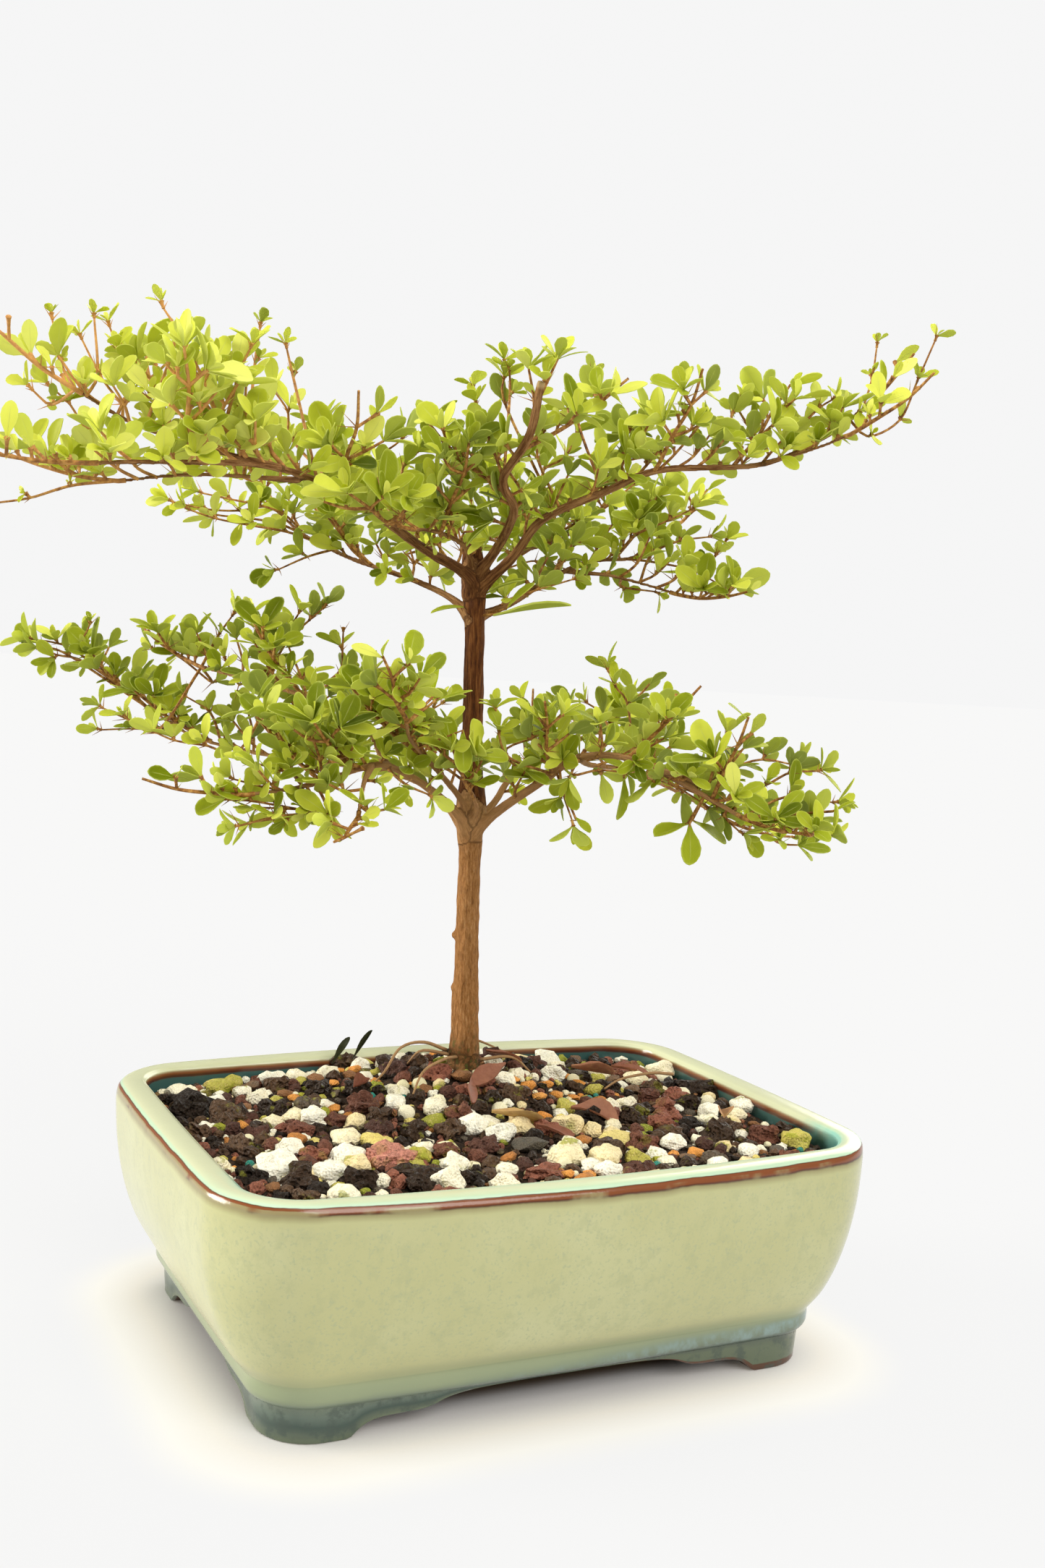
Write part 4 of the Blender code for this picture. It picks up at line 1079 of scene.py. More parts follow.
# Limbs: name, radius at its start and tip, stations, side stems. A station is (reach from
# the trunk's foot, bearing, height). A side stem is (share of the limb's length, turn to the
# left, climb, length), with angles in degrees. The last number is the length of the stem
# that carries on from the tip, or 0 where the tip was cut.
LIMBS = [
    ("upper_left", 2.9, 1.0,
     [(0, 200, 154), (10, 196, 160), (27, 197, 166), (56, 202, 176), (93, 206, 182),
      (128, 205, 179), (150, 203, 176)],
     [(0.30, -50, 38, 32), (0.44, 48, 34, 34), (0.60, -46, 44, 36), (0.80, 40, 40, 32)], 30),
    ("upper_left_rising", 1.5, 0.9,
     [(93, 206, 182), (110, 199, 186), (124, 193, 191), (140, 192, 198)],
     [(0.16, 46, 40, 32), (0.50, -45, 40, 30)], 30),
    ("upper_left_low", 1.3, 0.9,
     [(84, 205, 180), (104, 192, 180), (122, 186, 177)],
     [], 34),
    ("upper_right", 2.8, 1.0,
     [(0, 290, 154), (9, 292, 166), (21, 293, 178), (40, 304, 187), (55, 310, 194),
      (84, 321, 198), (104, 326, 209), (113, 328, 217)],
     [(0.34, 55, 40, 34), (0.50, -48, 36, 34), (0.68, 44, 42, 32)], 24),
    ("upper_right_fork", 1.2, 0.9,
     [(84, 321, 198), (100, 320, 203), (110, 319, 207)],
     [], 30),
    ("cut_leader", 2.6, 1.9,
     [(0, 250, 158), (12, 252, 168), (28, 255, 174), (38, 254, 179), (45, 248, 186),
      (58, 254, 197), (66, 255, 211)],
     [(0.56, -70, 26, 30), (0.76, 80, 24, 36)], 0),
    ("upper_front", 1.9, 0.9,
     [(0, 215, 160), (16, 214, 168), (32, 214, 171), (50, 217, 170)],
     [(0.62, 55, 30, 34)], 32),
    ("upper_back_left", 2.0, 0.9,
     [(0, 140, 146), (12, 132, 152), (28, 124, 158), (60, 120, 166), (84, 119, 175),
      (98, 118, 185)],
     [(0.46, 50, 36, 32), (0.72, -48, 40, 32)], 32),
    ("upper_right_back", 2.1, 0.9,
     [(0, 30, 146), (13, 27, 153), (28, 23, 161), (46, 19, 169), (64, 15, 172), (80, 16, 182)],
     [(0.42, 50, 38, 32), (0.70, -40, 45, 28)], 26),
    ("upper_right_low", 1.3, 0.9,
     [(37, 21, 165), (46, 4, 164), (58, 355, 161), (64, 351, 159)],
     [], 26),
    ("upper_back_right", 2.0, 0.9,
     [(0, 60, 156), (12, 55, 163), (28, 48, 170), (64, 43, 178), (86, 43, 186)],
     [(0.55, 110, 36, 32)], 32),
    ("upper_back", 2.1, 0.9,
     [(0, 95, 154), (13, 95, 161), (36, 94, 168), (70, 90, 174), (98, 88, 180)],
     [(0.42, 50, 40, 32), (0.72, -46, 36, 32)], 34),
    ("lower_left", 2.7, 1.0,
     [(0, 200, 76), (9, 201, 84), (24, 203, 93), (40, 205, 99), (50, 205, 100), (71, 201, 94),
      (88, 197, 91)],
     [(0.61, 31, 8, 30), (0.76, -42, 30, 28)], 30),
    ("lower_left_near", 1.6, 1.0,
     [(50, 205, 100), (61, 212, 95), (71, 217, 87)],
     [], 22),
    ("lower_left_rising", 1.8, 0.9,
     [(43, 205, 99), (43, 190, 111), (50, 172, 117), (76, 156, 123), (92, 151, 126)],
     [(0.52, 40, 46, 28)], 28),
    ("lower_back_left", 2.2, 0.9,
     [(0, 150, 78), (10, 150, 86), (22, 150, 94), (44, 147, 97), (72, 141, 98), (100, 139, 102),
      (120, 138, 111)],
     [(0.50, -44, 34, 30), (0.78, 42, 24, 28)], 34),
    ("lower_right", 2.7, 1.2,
     [(0, 296, 76), (9, 297, 86), (24, 298, 96), (38, 299, 105), (55, 300, 106), (74, 303, 99),
      (90, 306, 91)],
     [(0.36, -60, 30, 30), (0.62, 52, 34, 30), (0.90, -42, 50, 28)], 28),
    ("lower_right_stub", 1.5, 1.2,
     [(66, 301, 103), (76, 305, 100), (86, 309, 99)],
     [], 0),
    ("lower_right_back", 1.8, 0.9,
     [(38, 299, 105), (36, 325, 102), (50, 346, 100), (70, 352, 93), (84, 352, 86)],
     [(0.60, 48, 34, 28)], 30),
    ("lower_back_right", 2.2, 0.9,
     [(0, 31, 78), (10, 33, 87), (22, 36, 95), (46, 37, 102), (76, 34, 109), (98, 30, 113)],
     [(0.50, 46, 36, 28), (0.76, -44, 30, 28)], 30),
    ("lower_front", 1.5, 1.0,
     [(0, 243, 80), (8, 243, 86), (18, 240, 91)],
     [], 26),
    ("lower_front_left", 1.9, 1.0,
     [(0, 200, 80), (8, 206, 88), (20, 212, 96), (45, 218, 108), (58, 223, 115)],
     [(0.60, -46, 30, 28)], 28),
    ("lower_back", 1.9, 0.9,
     [(0, 92, 78), (10, 93, 86), (28, 94, 95), (54, 92, 101), (74, 90, 105)],
     [(0.58, 48, 34, 28)], 30),
]
print(len(LIMBS), "limbs,", sum(len(limb[4]) + (limb[5] > 0) for limb in LIMBS), "leafy stems")


# %% Points along the limbs
TOP_HEIGHT, TOP_LEAN, _ = TRUNK[-1]


def trunk_point(height, lean):
    angle = math.radians(LEAN_BEARING)
    return TRUNK_FOOT + Vector((lean * math.cos(angle), lean * math.sin(angle), height))


def axis_point(height):
    """A point on a straight line from the trunk's foot to its top."""
    return trunk_point(height, TOP_LEAN * height / TOP_HEIGHT)


def station_point(reach, bearing, height):
    """A point on a limb, from its reach and bearing round the trunk's foot, and its height."""
    if reach == 0:
        return axis_point(height)
    angle = math.radians(bearing)
    return TRUNK_FOOT + Vector((reach * math.cos(angle), reach * math.sin(angle), height))


def limb_radii(points, start, tip):
    lengths = [0]
    for a, b in zip(points, points[1:]):
        lengths.append(lengths[-1] + (b - a).length)
    return [start + (tip - start) * (length / lengths[-1]) ** 0.8 for length in lengths]


def along(points, radii, share):
    """The point, direction and radius at a share of a limb's length."""
    spans = [(b - a).length for a, b in zip(points, points[1:])]
    left = share * sum(spans)
    for i, span in enumerate(spans):
        if left <= span or i == len(spans) - 1:
            part = min(left / span, 1)
            radius = radii[i] + (radii[i + 1] - radii[i]) * part
            return points[i].lerp(points[i + 1], part), (points[i + 1] - points[i]) / span, radius
        left -= span


def fine_path(points, radii, step):
    """The same path with a point every few millimetres, its bends rounded."""
    rows = smooth([(*point, radius) for point, radius in zip(points, radii)], 6)
    path = [Vector(row[:3]) for row in rows]
    sizes = [row[3] for row in rows]
    total = sum((b - a).length for a, b in zip(path, path[1:]))
    count = max(4, round(total / step))
    spots = [along(path, sizes, n / count) for n in range(count + 1)]
    return [spot[0] for spot in spots], [spot[2] for spot in spots]


print("the trunk's top lies at", tuple(round(c, 1) for c in axis_point(TOP_HEIGHT)))

# %% Skin of the trunk
# The limbs are drawn thinner than the solids, as the picture shows them.
SLIM = 0.66
THICKEST = 5.2
KNOT_OUT = 3.0
VOXEL = 0.60
# The centre lines of all branches: point, radius, axes, and place along the grain.
SKIN = []


def add_branch(bm, points, radii, sides, step, collar=0.0):
    """Adds one tube to the skin, and notes its centre line for the bark's grain."""
    path, sizes = fine_path(points, radii, step)
    reach = 0.0
    swollen = []
    for point, before, size in zip(path, [path[0]] + path, sizes):
        reach += (point - before).length
        swollen.append(size * (1 + collar * math.exp(-(reach / 7) ** 2)))
    tube(bm, path, swollen, sides,
         lambda angle, point: 1 + 0.10 * noise.noise(point / 9 + Vector((3 * math.cos(angle),
                                                                         3 * math.sin(angle), 0))))
    reach = 37.0 * len(SKIN)
    for point, before, size, axes in zip(path, [path[0]] + path, sizes, frames(path)):
        reach += (point - before).length
        SKIN.append((point, size, axes, reach))


def make_trunk(paint):
    bm = bmesh.new()
    add_branch(bm, [trunk_point(height, lean) for height, lean, _ in TRUNK],
               [min(radius, THICKEST) for _, _, radius in TRUNK], 28, 1.4)
    for name, start, tip, stations, _, _ in LIMBS:
        points = [station_point(*station) for station in stations]
        radii = [radius * SLIM for radius in limb_radii(points, start, tip)]
        add_branch(bm, points, radii, 12, 1.6, 0.8 if stations[0][0] == 0 else 0.3)
    for bearing, length, radius in ROOTS:
        radii = [radius * share for share in (1.5, 1.1, 1.0, 0.8, 0.6)]
        add_branch(bm, root_path(bearing, length), radii, 12, 1.2)
    for height, bearing, radius in KNOTS:
        angle = math.radians(bearing)
        spot = axis_point(height) + Vector((math.cos(angle), math.sin(angle), 0)) * KNOT_OUT
        bmesh.ops.create_icosphere(bm, subdivisions=2, radius=radius,
                                   matrix=Matrix.Translation(spot))
    bmesh.ops.recalc_face_normals(bm, faces=bm.faces)
    trunk = new_piece(bm, "trunk_and_limbs", [paint], ["trunk"])
    remesh = trunk.modifiers.new("melt", "REMESH")
    remesh.mode = "VOXEL"
    remesh.voxel_size = VOXEL * MM
    apply_modifiers(trunk)
    bm = bmesh.new()
    bm.from_mesh(trunk.data)
    for _ in range(2):
        bmesh.ops.smooth_vert(bm, verts=bm.verts, factor=0.5, use_axis_x=True, use_axis_y=True,
                              use_axis_z=True)
    press_bark(bm)
    bm.to_mesh(trunk.data)
    bm.free()
    trunk.data.shade_smooth()
    return trunk


def press_bark(bm):
    """Furrows the skin along the grain and stores the grain's own coordinates."""
    lines = KDTree(len(SKIN))
    for number, (point, _, _, _) in enumerate(SKIN):
        lines.insert(PLACE @ point, number)
    lines.balance()
    inverse = PLACE.inverted()
    grain = bm.verts.layers.float_vector.new("grain")
    girth = bm.verts.layers.float.new("girth")
    bm.normal_update()
    for vert in bm.verts:
        point, size, (direction, side, other), reach = SKIN[lines.find(vert.co)[1]]
        offset = inverse @ vert.co - point
        here = Vector((offset.dot(side), offset.dot(other), reach + offset.dot(direction)))
        vert[grain] = here
        vert[girth] = size
        furrow = noise.noise(Vector((here.x * 1.1, here.y * 1.1, here.z * 0.16)))
        lump = noise.noise(Vector((here.x * 0.5, here.y * 0.5, here.z * 0.4 + 50)))
        depth = (0.20 * furrow + 0.16 * lump) * min(1.0, size / 3.2)
        vert.co += vert.normal * depth * MM


print("limbs are drawn", SLIM, "times as thick as the solids'")

# %% [markdown]
# ## Bark
# The lower trunk is smooth tan bark; above the first limbs it is darker and furrowed, and the
# thin limbs are red-brown. A noise in plain space would cut straight across the limbs. The
# grain attribute runs along each limb, so a noise stretched on its third axis gives furrows
# that follow every bend.


# %% Bark material
def make_bark():
    bark = Paint("bark", Specular_IOR_Level=0.14)
    grain = bark.attribute("grain", out="Vector")
    girth = bark.attribute("girth")
    height = bark.part(bark.place(), "Z")
    furrows = bark.noise(bark.scaled(grain, (1, 1, 0.09)), 1.15, detail=7, roughness=0.72)
    scales = bark.noise(bark.scaled(grain, (0.5, 0.5, 0.35)), 1.2, detail=5)
    low_limb = bark.fade(girth, 2.7, 2.2) * bark.fade(height, 0.215, 0.190)
    dark = bark.fade(height, 0.150, 0.160) * (1 - low_limb * 0.9)
    short = bark.noise(bark.scaled(grain, (1, 1, 0.26)), 1.7, detail=7, roughness=0.75)
    tan = bark.ramp(furrows * 0.4 + short * 0.6, [
        (0.36, (0.15, 0.060, 0.015)), (0.46, (0.36, 0.155, 0.044)), (0.56, (0.50, 0.240, 0.082)),
        (0.68, (0.70, 0.43, 0.20))])
    tan = bark.mix(bark.fade(scales, 0.55, 0.66) * 0.35, tan, (0.22, 0.105, 0.040))
    brown = bark.ramp(furrows, [(0.34, (0.030, 0.009, 0.003)), (0.48, (0.135, 0.042, 0.010)),
                                (0.60, (0.27, 0.100, 0.026)), (0.76, (0.46, 0.220, 0.075))])
    thin = bark.fade(girth, 2.1, 1.2)
    limb = bark.mix(bark.fade(furrows, 0.36, 0.66), (0.200, 0.074, 0.020), (0.60, 0.325, 0.125))
    colour = bark.mix(dark, tan, brown)
    colour = bark.mix(thin * 0.8, colour, limb)
    # Painted light: the lower limbs above 150 mm are lightened to a warm tan, against the shade
    # that the crown throws on them.
    colour = bark.mix(low_limb * bark.fade(height, 0.140, 0.150) * 0.45, colour,
                      (0.72, 0.40, 0.17))
    damp = bark.fade(height, 0.086, 0.070)
    colour = bark.mix(damp * (0.45 + 0.5 * bark.fade(scales, 0.46, 0.58)), colour,
                      (0.060, 0.030, 0.012))
    moss = bark.fade(scales + damp * 0.12, 0.64, 0.72) * bark.fade(height, 0.110, 0.075)
    colour = bark.mix(moss * 0.5, colour, (0.14, 0.16, 0.03))
    for name in ("cut_leader", "lower_right_stub"):
        end = PLACE @ station_point(*next(limb[3][-1] for limb in LIMBS if limb[0] == name))
        near = bark.vector_math("DISTANCE", bark.place(), end, out="Value")
        colour = bark.mix(bark.fade(near, 0.0026, 0.0014), colour, (0.66, 0.44, 0.20))
    return bark.finish(colour, 0.6 + furrows * 0.3, furrows * 1.6 + short + scales * 0.6, 0.0007)


trunk = make_trunk(make_bark())
print("trunk and limbs have", len(trunk.data.polygons), "faces")

# %% [markdown]
# ## Leaves
# A black olive leaf is spoon-shaped: narrow at its stalk, widest near its rounded tip, folded a
# little along the midrib. A flat card with a leaf's picture would be cheaper, but it has no
# thickness and no curl. So a template is a small grid bent to that outline and given a paper
# thickness. Its UV map runs across and along the leaf, for the midrib and veins.

# %% Leaf templates
LEAF_THICKNESS = 0.022
LEAF_WIDEST = 0.62
LEAF_RUNS = (0.0, 0.20, 0.42, 0.62, 0.80, 0.94, 1.0)
SMALL_RUNS = (0.0, 0.28, 0.60, 0.88, 1.0)


def half_width(run, width):
    """Half the width of a leaf of length 1, at a share of its length from the stalk."""
    if run > LEAF_WIDEST:
        return width / 2 * math.sqrt(1 - 0.90 * ((run - LEAF_WIDEST) / 0.38) ** 2)
    swell = 0.5 - 0.5 * math.cos(math.pi * run / LEAF_WIDEST)
    return width / 2 * (0.09 + 0.91 * swell ** 0.9)


def leaf_template(name, runs, width, fold, bend, twist):
    pieces = len(runs) - 1
    bm = bmesh.new()
    chart = bm.loops.layers.uv.new("leaf")
    under = bm.verts.layers.float.new("under")
    bmesh.ops.create_grid(bm, x_segments=2, y_segments=pieces, size=0.5, calc_uvs=True)
    for face in bm.faces:
        for corner in face.loops:
            corner[chart].uv = (corner.vert.co.x + 0.5,
                                runs[round((corner.vert.co.y + 0.5) * pieces)])
    for vert in bm.verts:
        across, run = vert.co.x * 2, runs[round((vert.co.y + 0.5) * pieces)]
        side = across * half_width(run, width)
        lift = fold * abs(side) - bend * run * run + twist * side * run
        vert.co = Vector((side, run - 0.03 * abs(across) ** 2 * run, lift))
    flat = list(bm.verts)
    bmesh.ops.solidify(bm, geom=bm.faces[:], thickness=LEAF_THICKNESS)
    fresh = [vert for vert in bm.verts if vert not in flat]
    mean_flat = sum(vert.co.z for vert in flat) / len(flat)
    mean_fresh = sum(vert.co.z for vert in fresh) / len(fresh)
    for vert in (fresh if mean_fresh < mean_flat else flat):
        vert[under] = 1.0
    bmesh.ops.recalc_face_normals(bm, faces=bm.faces)
    return keep_template(bm, name)


def leaf_templates(title, runs, count, narrow, wide, seed):
    rng = random.Random(seed)
    return [leaf_template(f"{title} {n}", runs, rng.uniform(narrow, wide), rng.uniform(0.10, 0.5),
                          rng.uniform(-0.10, 0.24), rng.uniform(-0.35, 0.35))
            for n in range(count)]


LEAVES = leaf_templates("leaf", LEAF_RUNS, 12, 0.42, 0.58, 31)
SMALL_LEAVES = leaf_templates("small leaf", SMALL_RUNS, 8, 0.44, 0.60, 32)
LONG_LEAVES = leaf_templates("long leaf", LEAF_RUNS, 3, 0.24, 0.30, 33)
print("leaf templates have", len(TEMPLATES["leaf 0"].polygons), "and",
      len(TEMPLATES["small leaf 0"].polygons), "faces")

# %% [markdown]
# ## Where leaves grow
# Each stem bends at every node, where a short spur carries a rosette and thin spines stand
# opposite. Leaves could be scattered over the twigs, but then they would stand where no bud
# is. The stems and the first leaves follow the same seeded plan as the solids, and further
# leaves fill each rosette. Before a leaf is kept it is tried against its neighbours.

# %% How full the rosettes are
# How full the picture shows a stem's rosettes, from its first to its tip, where not 1.
FULLNESS = {
    "upper_left_stem_2": (0.9, 0.15, 0), "upper_left_stem_3": (1, 0.6, 0.4),
    "upper_left_stem_4": (1, 0.7, 0.5), "upper_left_tip": (0.3, 0.3, 0.4),
    "upper_left_rising_stem_1": (1, 0.5, 0.5), "upper_left_rising_tip": (0.3, 0, 0.3),
    "upper_left_low_tip": (0.9, 0.3, 0.1), "upper_right_stem_2": (0.9, 0.5, 0),
    "upper_right_stem_3": (1, 0.6, 0.2), "upper_right_tip": (0.2, 0.1, 0),
    "upper_right_fork_tip": (0.4, 0, 0), "cut_leader_stem_1": (0.8, 0.7, 0.4),
    "cut_leader_stem_2": (0.9, 0.6, 0), "upper_right_back_tip": (0, 0.5, 0.2),
    "upper_right_low_tip": (0.8, 0.7, 0.2), "upper_right_back_stem_2": (0.9, 0.7, 0.6),
    "lower_left_tip": (0.4, 0.2, 0), "lower_left_near_tip": (0.3, 0, 0),
    "lower_left_rising_stem_1": (1, 0.5, 0.3), "lower_left_rising_tip": (0.9, 0, 0),
    "lower_back_left_stem_2": (0.7, 0.9, 0.7), "lower_right_stem_1": (0.9, 0.5, 0),
    "lower_right_stem_2": (0.5, 0, 0), "lower_right_stem_3": (0.9, 0.2, 0.1),
    "lower_right_tip": (1, 0.8, 0.3), "lower_back_right_stem_1": (0.5, 0.1, 0),
    "lower_back_right_stem_2": (0.9, 0.4, 0.1), "lower_back_right_tip": (0.4, 0.1, 0),
    "lower_right_back_stem_1": (1, 0.8, 0.4), "lower_front_left_tip": (0.8, 0.4, 0.2),
}
print(len(FULLNESS), "stems are less than full")

# %% The plan of stems and rosettes
STEM_HALF = 0.7
STEM_NODES = 2
SPUR_LENGTH = 6.5
LEAF_LENGTHS = (9.5, 13.5)
LEAF_TILTS = (46, 64)


def aim(direction, turn, climb):
    """A direction turned to the left about +Z, and climbing by an angle."""
    flat = Vector((direction.x, direction.y, 0)).normalized()
    flat.rotate(Quaternion(UP, math.radians(turn)))
    return flat * math.cos(math.radians(climb)) + UP * math.sin(math.radians(climb))


def square_to(axis, across):
    """Two directions square to an axis and each other, the second on the upper side."""
    across = square_part(across, axis)
    upper = across.cross(axis)
    return across, upper if upper.z > 0 else -upper


def plan_stem(name, start, heading, length):
    """A stem's points, and its rosettes as (centre, axis, across, upper)."""
    rng = random.Random(name)
    sideways = heading.cross(UP).normalized()
    points = [start]
    rosettes = []
    direction = heading.copy()
    for node in range(STEM_NODES + 1):
        hand = (-1) ** node
        swing = sideways * hand * rng.uniform(0.10, 0.28)
        direction = (direction + swing + UP * rng.uniform(0.04, 0.24)).normalized()
        points.append(points[-1] + direction * length / (STEM_NODES + 1))
        if node < STEM_NODES:
            axis = (sideways * hand + direction * 0.35 + UP * rng.uniform(0.5, 0.9)).normalized()
            centre = points[-1] + axis * SPUR_LENGTH * rng.uniform(0.85, 1.15)
            rosettes.append((centre, axis, *square_to(axis, direction)))
    axis = (direction + UP * 0.5).normalized()
    rosettes.append((points[-1], axis, *square_to(axis, sideways)))
    return points, rosettes


def plan_stems():
    """Every leafy stem, as (name, point inside the limb, points, rosettes)."""
    stems = []
    for name, start_radius, tip_radius, stations, sides, tip_length in LIMBS:
        points = [station_point(*station) for station in stations]
        radii = limb_radii(points, start_radius, tip_radius)
        for number, (share, turn, climb, length) in enumerate(sides):
            point, direction, radius = along(points, radii, share)
            heading = aim(direction, turn, climb)
            lean_in = abs(heading.dot(direction))
            reach = radius + GAP + STEM_HALF * lean_in
            start = point + heading * reach / math.sqrt(1 - lean_in ** 2)
            stem = f"{name}_stem_{number + 1}"
            stems.append((stem, point, *plan_stem(stem, start, heading, length)))
        if tip_length:
            heading = (points[-1] - points[-2]).normalized()
            stem = f"{name}_tip"
            start = points[-1] + heading * GAP
            stems.append((stem, points[-1] - heading * 2,
                          *plan_stem(stem, start, heading, tip_length)))
    return stems


def plan_leaves(name, number, axis, across, upper):
    """The first leaves of one rosette, as (direction, upper side, length)."""
    rng = random.Random(f"{name} {number}")
    leaves = []
    for spoke in (across, upper, -across):
        spoke = spoke.copy()
        spoke.rotate(Quaternion(axis, rng.uniform(-0.3, 0.3)))
        tilt = math.radians(rng.uniform(*LEAF_TILTS))
        direction = axis * math.cos(tilt) + spoke * math.sin(tilt)
        top = square_part(axis, direction)
        top.rotate(Quaternion(direction, rng.uniform(-0.35, 0.35)))
        leaves.append((direction, top, rng.uniform(*LEAF_LENGTHS)))
    return leaves


STEMS = plan_stems()
print(len(STEMS), "stems planned")


# %% A crowd of leaves
class Crowd:
    """The leaves grown so far, looked up by cube, and the skin of the limbs."""
    CUBE = 15.0

    def __init__(self, skin):
        self.cubes = {}
        self.skin = skin

    def keys(self, centre):
        x, y, z = (int(c // self.CUBE) for c in centre)
        return [(x + a, y + b, z + c) for a in (-1, 0, 1) for b in (-1, 0, 1) for c in (-1, 0, 1)]

    def clear(self, surface, centre):
        if surface.overlap(self.skin):
            return False
        return not any(surface.overlap(other) for key in self.keys(centre)
                       for other in self.cubes.get(key, ()))

    def keep(self, surface, centre):
        key = tuple(int(c // self.CUBE) for c in centre)
        self.cubes.setdefault(key, []).append(surface)


def leaf_matrix(base, direction, top, length):
    side = direction.cross(top).normalized()
    top = side.cross(direction)
    turn = Matrix((side, direction, top)).transposed().to_4x4()
    return Matrix.Translation(base) @ turn @ Matrix.Scale(length, 4)


print("a leaf is tried against those in", 3 ** 3, "cubes of", Crowd.CUBE, "mm")

# %% Trying a leaf against its neighbours
SMALL_LEAF = 8.0
TRIES = 5
# The stalk's end is left out of the test, because all the stalks of a rosette meet.
BLADE_START = 0.16
BLADES = {}
for name in LEAVES + SMALL_LEAVES + LONG_LEAVES:
    bm = bmesh.new()
    bm.from_mesh(TEMPLATES[name])
    stalk = [face for face in bm.faces if face.calc_center_median().y < BLADE_START]
    bmesh.ops.delete(bm, geom=stalk, context="FACES")
    BLADES[name] = ([vert.co.copy() for vert in bm.verts],
                    [[vert.index for vert in face.verts] for face in bm.faces])
    bm.free()


def try_leaf(bm, crowd, rng, base, direction, top, length, tint, choices=()):
    """Grows a leaf, turned a little where it would cut through another."""
    template = rng.choice(choices or (LEAVES if length > SMALL_LEAF else SMALL_LEAVES))
    verts, faces = BLADES[template]
    for attempt in range(TRIES):
        matrix = leaf_matrix(base, direction, top, length)
        surface = BVHTree.FromPolygons([matrix @ vert for vert in verts], faces)
        centre = base + direction * length * 0.6
        if crowd.clear(surface, centre):
            crowd.keep(surface, centre)
            stamp(bm, template, matrix, {"tint": tint})
            return True
        swing = Quaternion(Vector((rng.gauss(0, 1), rng.gauss(0, 1), rng.gauss(0, 1))),
                           0.25 + 0.1 * attempt)
        direction = (swing @ direction).normalized()
        top = (swing @ top).normalized()
        length *= 0.95
    return False


print(len(BLADES), "shapes of leaf can be tried")


# %% Growing a rosette
MIDDLE_TINT, TINT_SPREAD, YOUNG_TINT = 0.48, 0.17, 0.18
YOUNG_LENGTHS, GROWN_LENGTHS = (4.5, 8.0), (7.5, 12.5)
YOUNG_TILTS, GROWN_TILTS = (12, 36), (30, 66)


def painted_crown_light(point):
    """Painted light and shade: leaves high on the left and right are lighter, and those behind are
    darker.
    """
    high = max(0.0, min(1.0, (point.z - 200) / 40))
    left = max(0.0, min(1.0, (-point.x - 20) / 90)) * high
    right = max(0.0, min(1.0, (point.x - 65) / 30)) * high
    behind = max(0.0, min(1.0, (point.y - 45) / 60)) * (1 - left)
    return 0.30 * left + 0.22 * right - 0.11 * behind


def grow_rosette(bm, crowd, rng, centre, axis, across, upper, first, more, small=1.0, fill=1.0):
    """A rosette: the planned leaves, others between them and a few young ones inside."""
    grown = 0
    # The rosette's tint carries painted light and shade by its place in the crown.
    base_tint = MIDDLE_TINT + painted_crown_light(centre) + rng.gauss(0, 0.10)
    for direction, top, length in first[:math.ceil(len(first) * min(fill * 1.5, 1))]:
        grown += try_leaf(bm, crowd, rng, centre - axis * 0.6, direction, top,
                          length * (0.76 + 0.26 * min(fill, 1)),
                          base_tint + rng.gauss(0, TINT_SPREAD))
    turn = rng.uniform(0, math.tau)
    more = round(more * fill)
    for number in range(more):
        angle = turn + number * GOLDEN_ANGLE
        young = number >= more - 2
        spoke = across * math.cos(angle) + upper * math.sin(angle)
        tilt = math.radians(rng.uniform(*(YOUNG_TILTS if young else GROWN_TILTS)))
        direction = axis * math.cos(tilt) + spoke * math.sin(tilt)
        top = square_part(axis, direction)
        top.rotate(Quaternion(direction, rng.uniform(-0.6, 0.6)))
        length = small * rng.uniform(*(YOUNG_LENGTHS if young else GROWN_LENGTHS))
        tint = base_tint + rng.gauss(0, TINT_SPREAD) + (YOUNG_TINT if young else 0)
        grown += try_leaf(bm, crowd, rng, centre, direction, top, length, tint)
    return grown


print("leaf lengths before a rosette's own scale:", YOUNG_LENGTHS, GROWN_LENGTHS)

# %% [markdown]
# ## Stems, spurs and spines
# A stem is one thin tube with a knee at each node. A spur is a shorter tube that thickens to a
# knob, and the spines are thin cones. One melted skin, as on the trunk, would lose twigs this
# thin, so they only overlap. They share a piece with the leaves that they carry.


# %% Spines, spurs and short twigs
def spine(bm, base, direction, length):
    turn = direction.to_track_quat("Z", "Y").to_matrix().to_4x4()
    bmesh.ops.create_cone(bm, cap_ends=True, segments=5, radius1=0.22, radius2=0.03,
                          depth=length, matrix=Matrix.Translation(base + direction * length / 2)
                          @ turn)


def spur(bm, start, centre):
    """A short spur that swells to the knob where its leaves sit."""
    middle = start.lerp(centre, 0.55)
    end = centre + (centre - start).normalized() * 0.3
    tube(bm, [start, middle, start.lerp(centre, 0.85), centre, end],
         [0.50, 0.42, 0.55, 0.80, 0.35], 6)


def twig_faces(bm, before):
    """Turns the faces made since a count outwards and gives them the twigs' material."""
    bm.faces.ensure_lookup_table()
    fresh = bm.faces[before:]
    bmesh.ops.recalc_face_normals(bm, faces=fresh)
    for face in fresh:
        face.material_index = 1


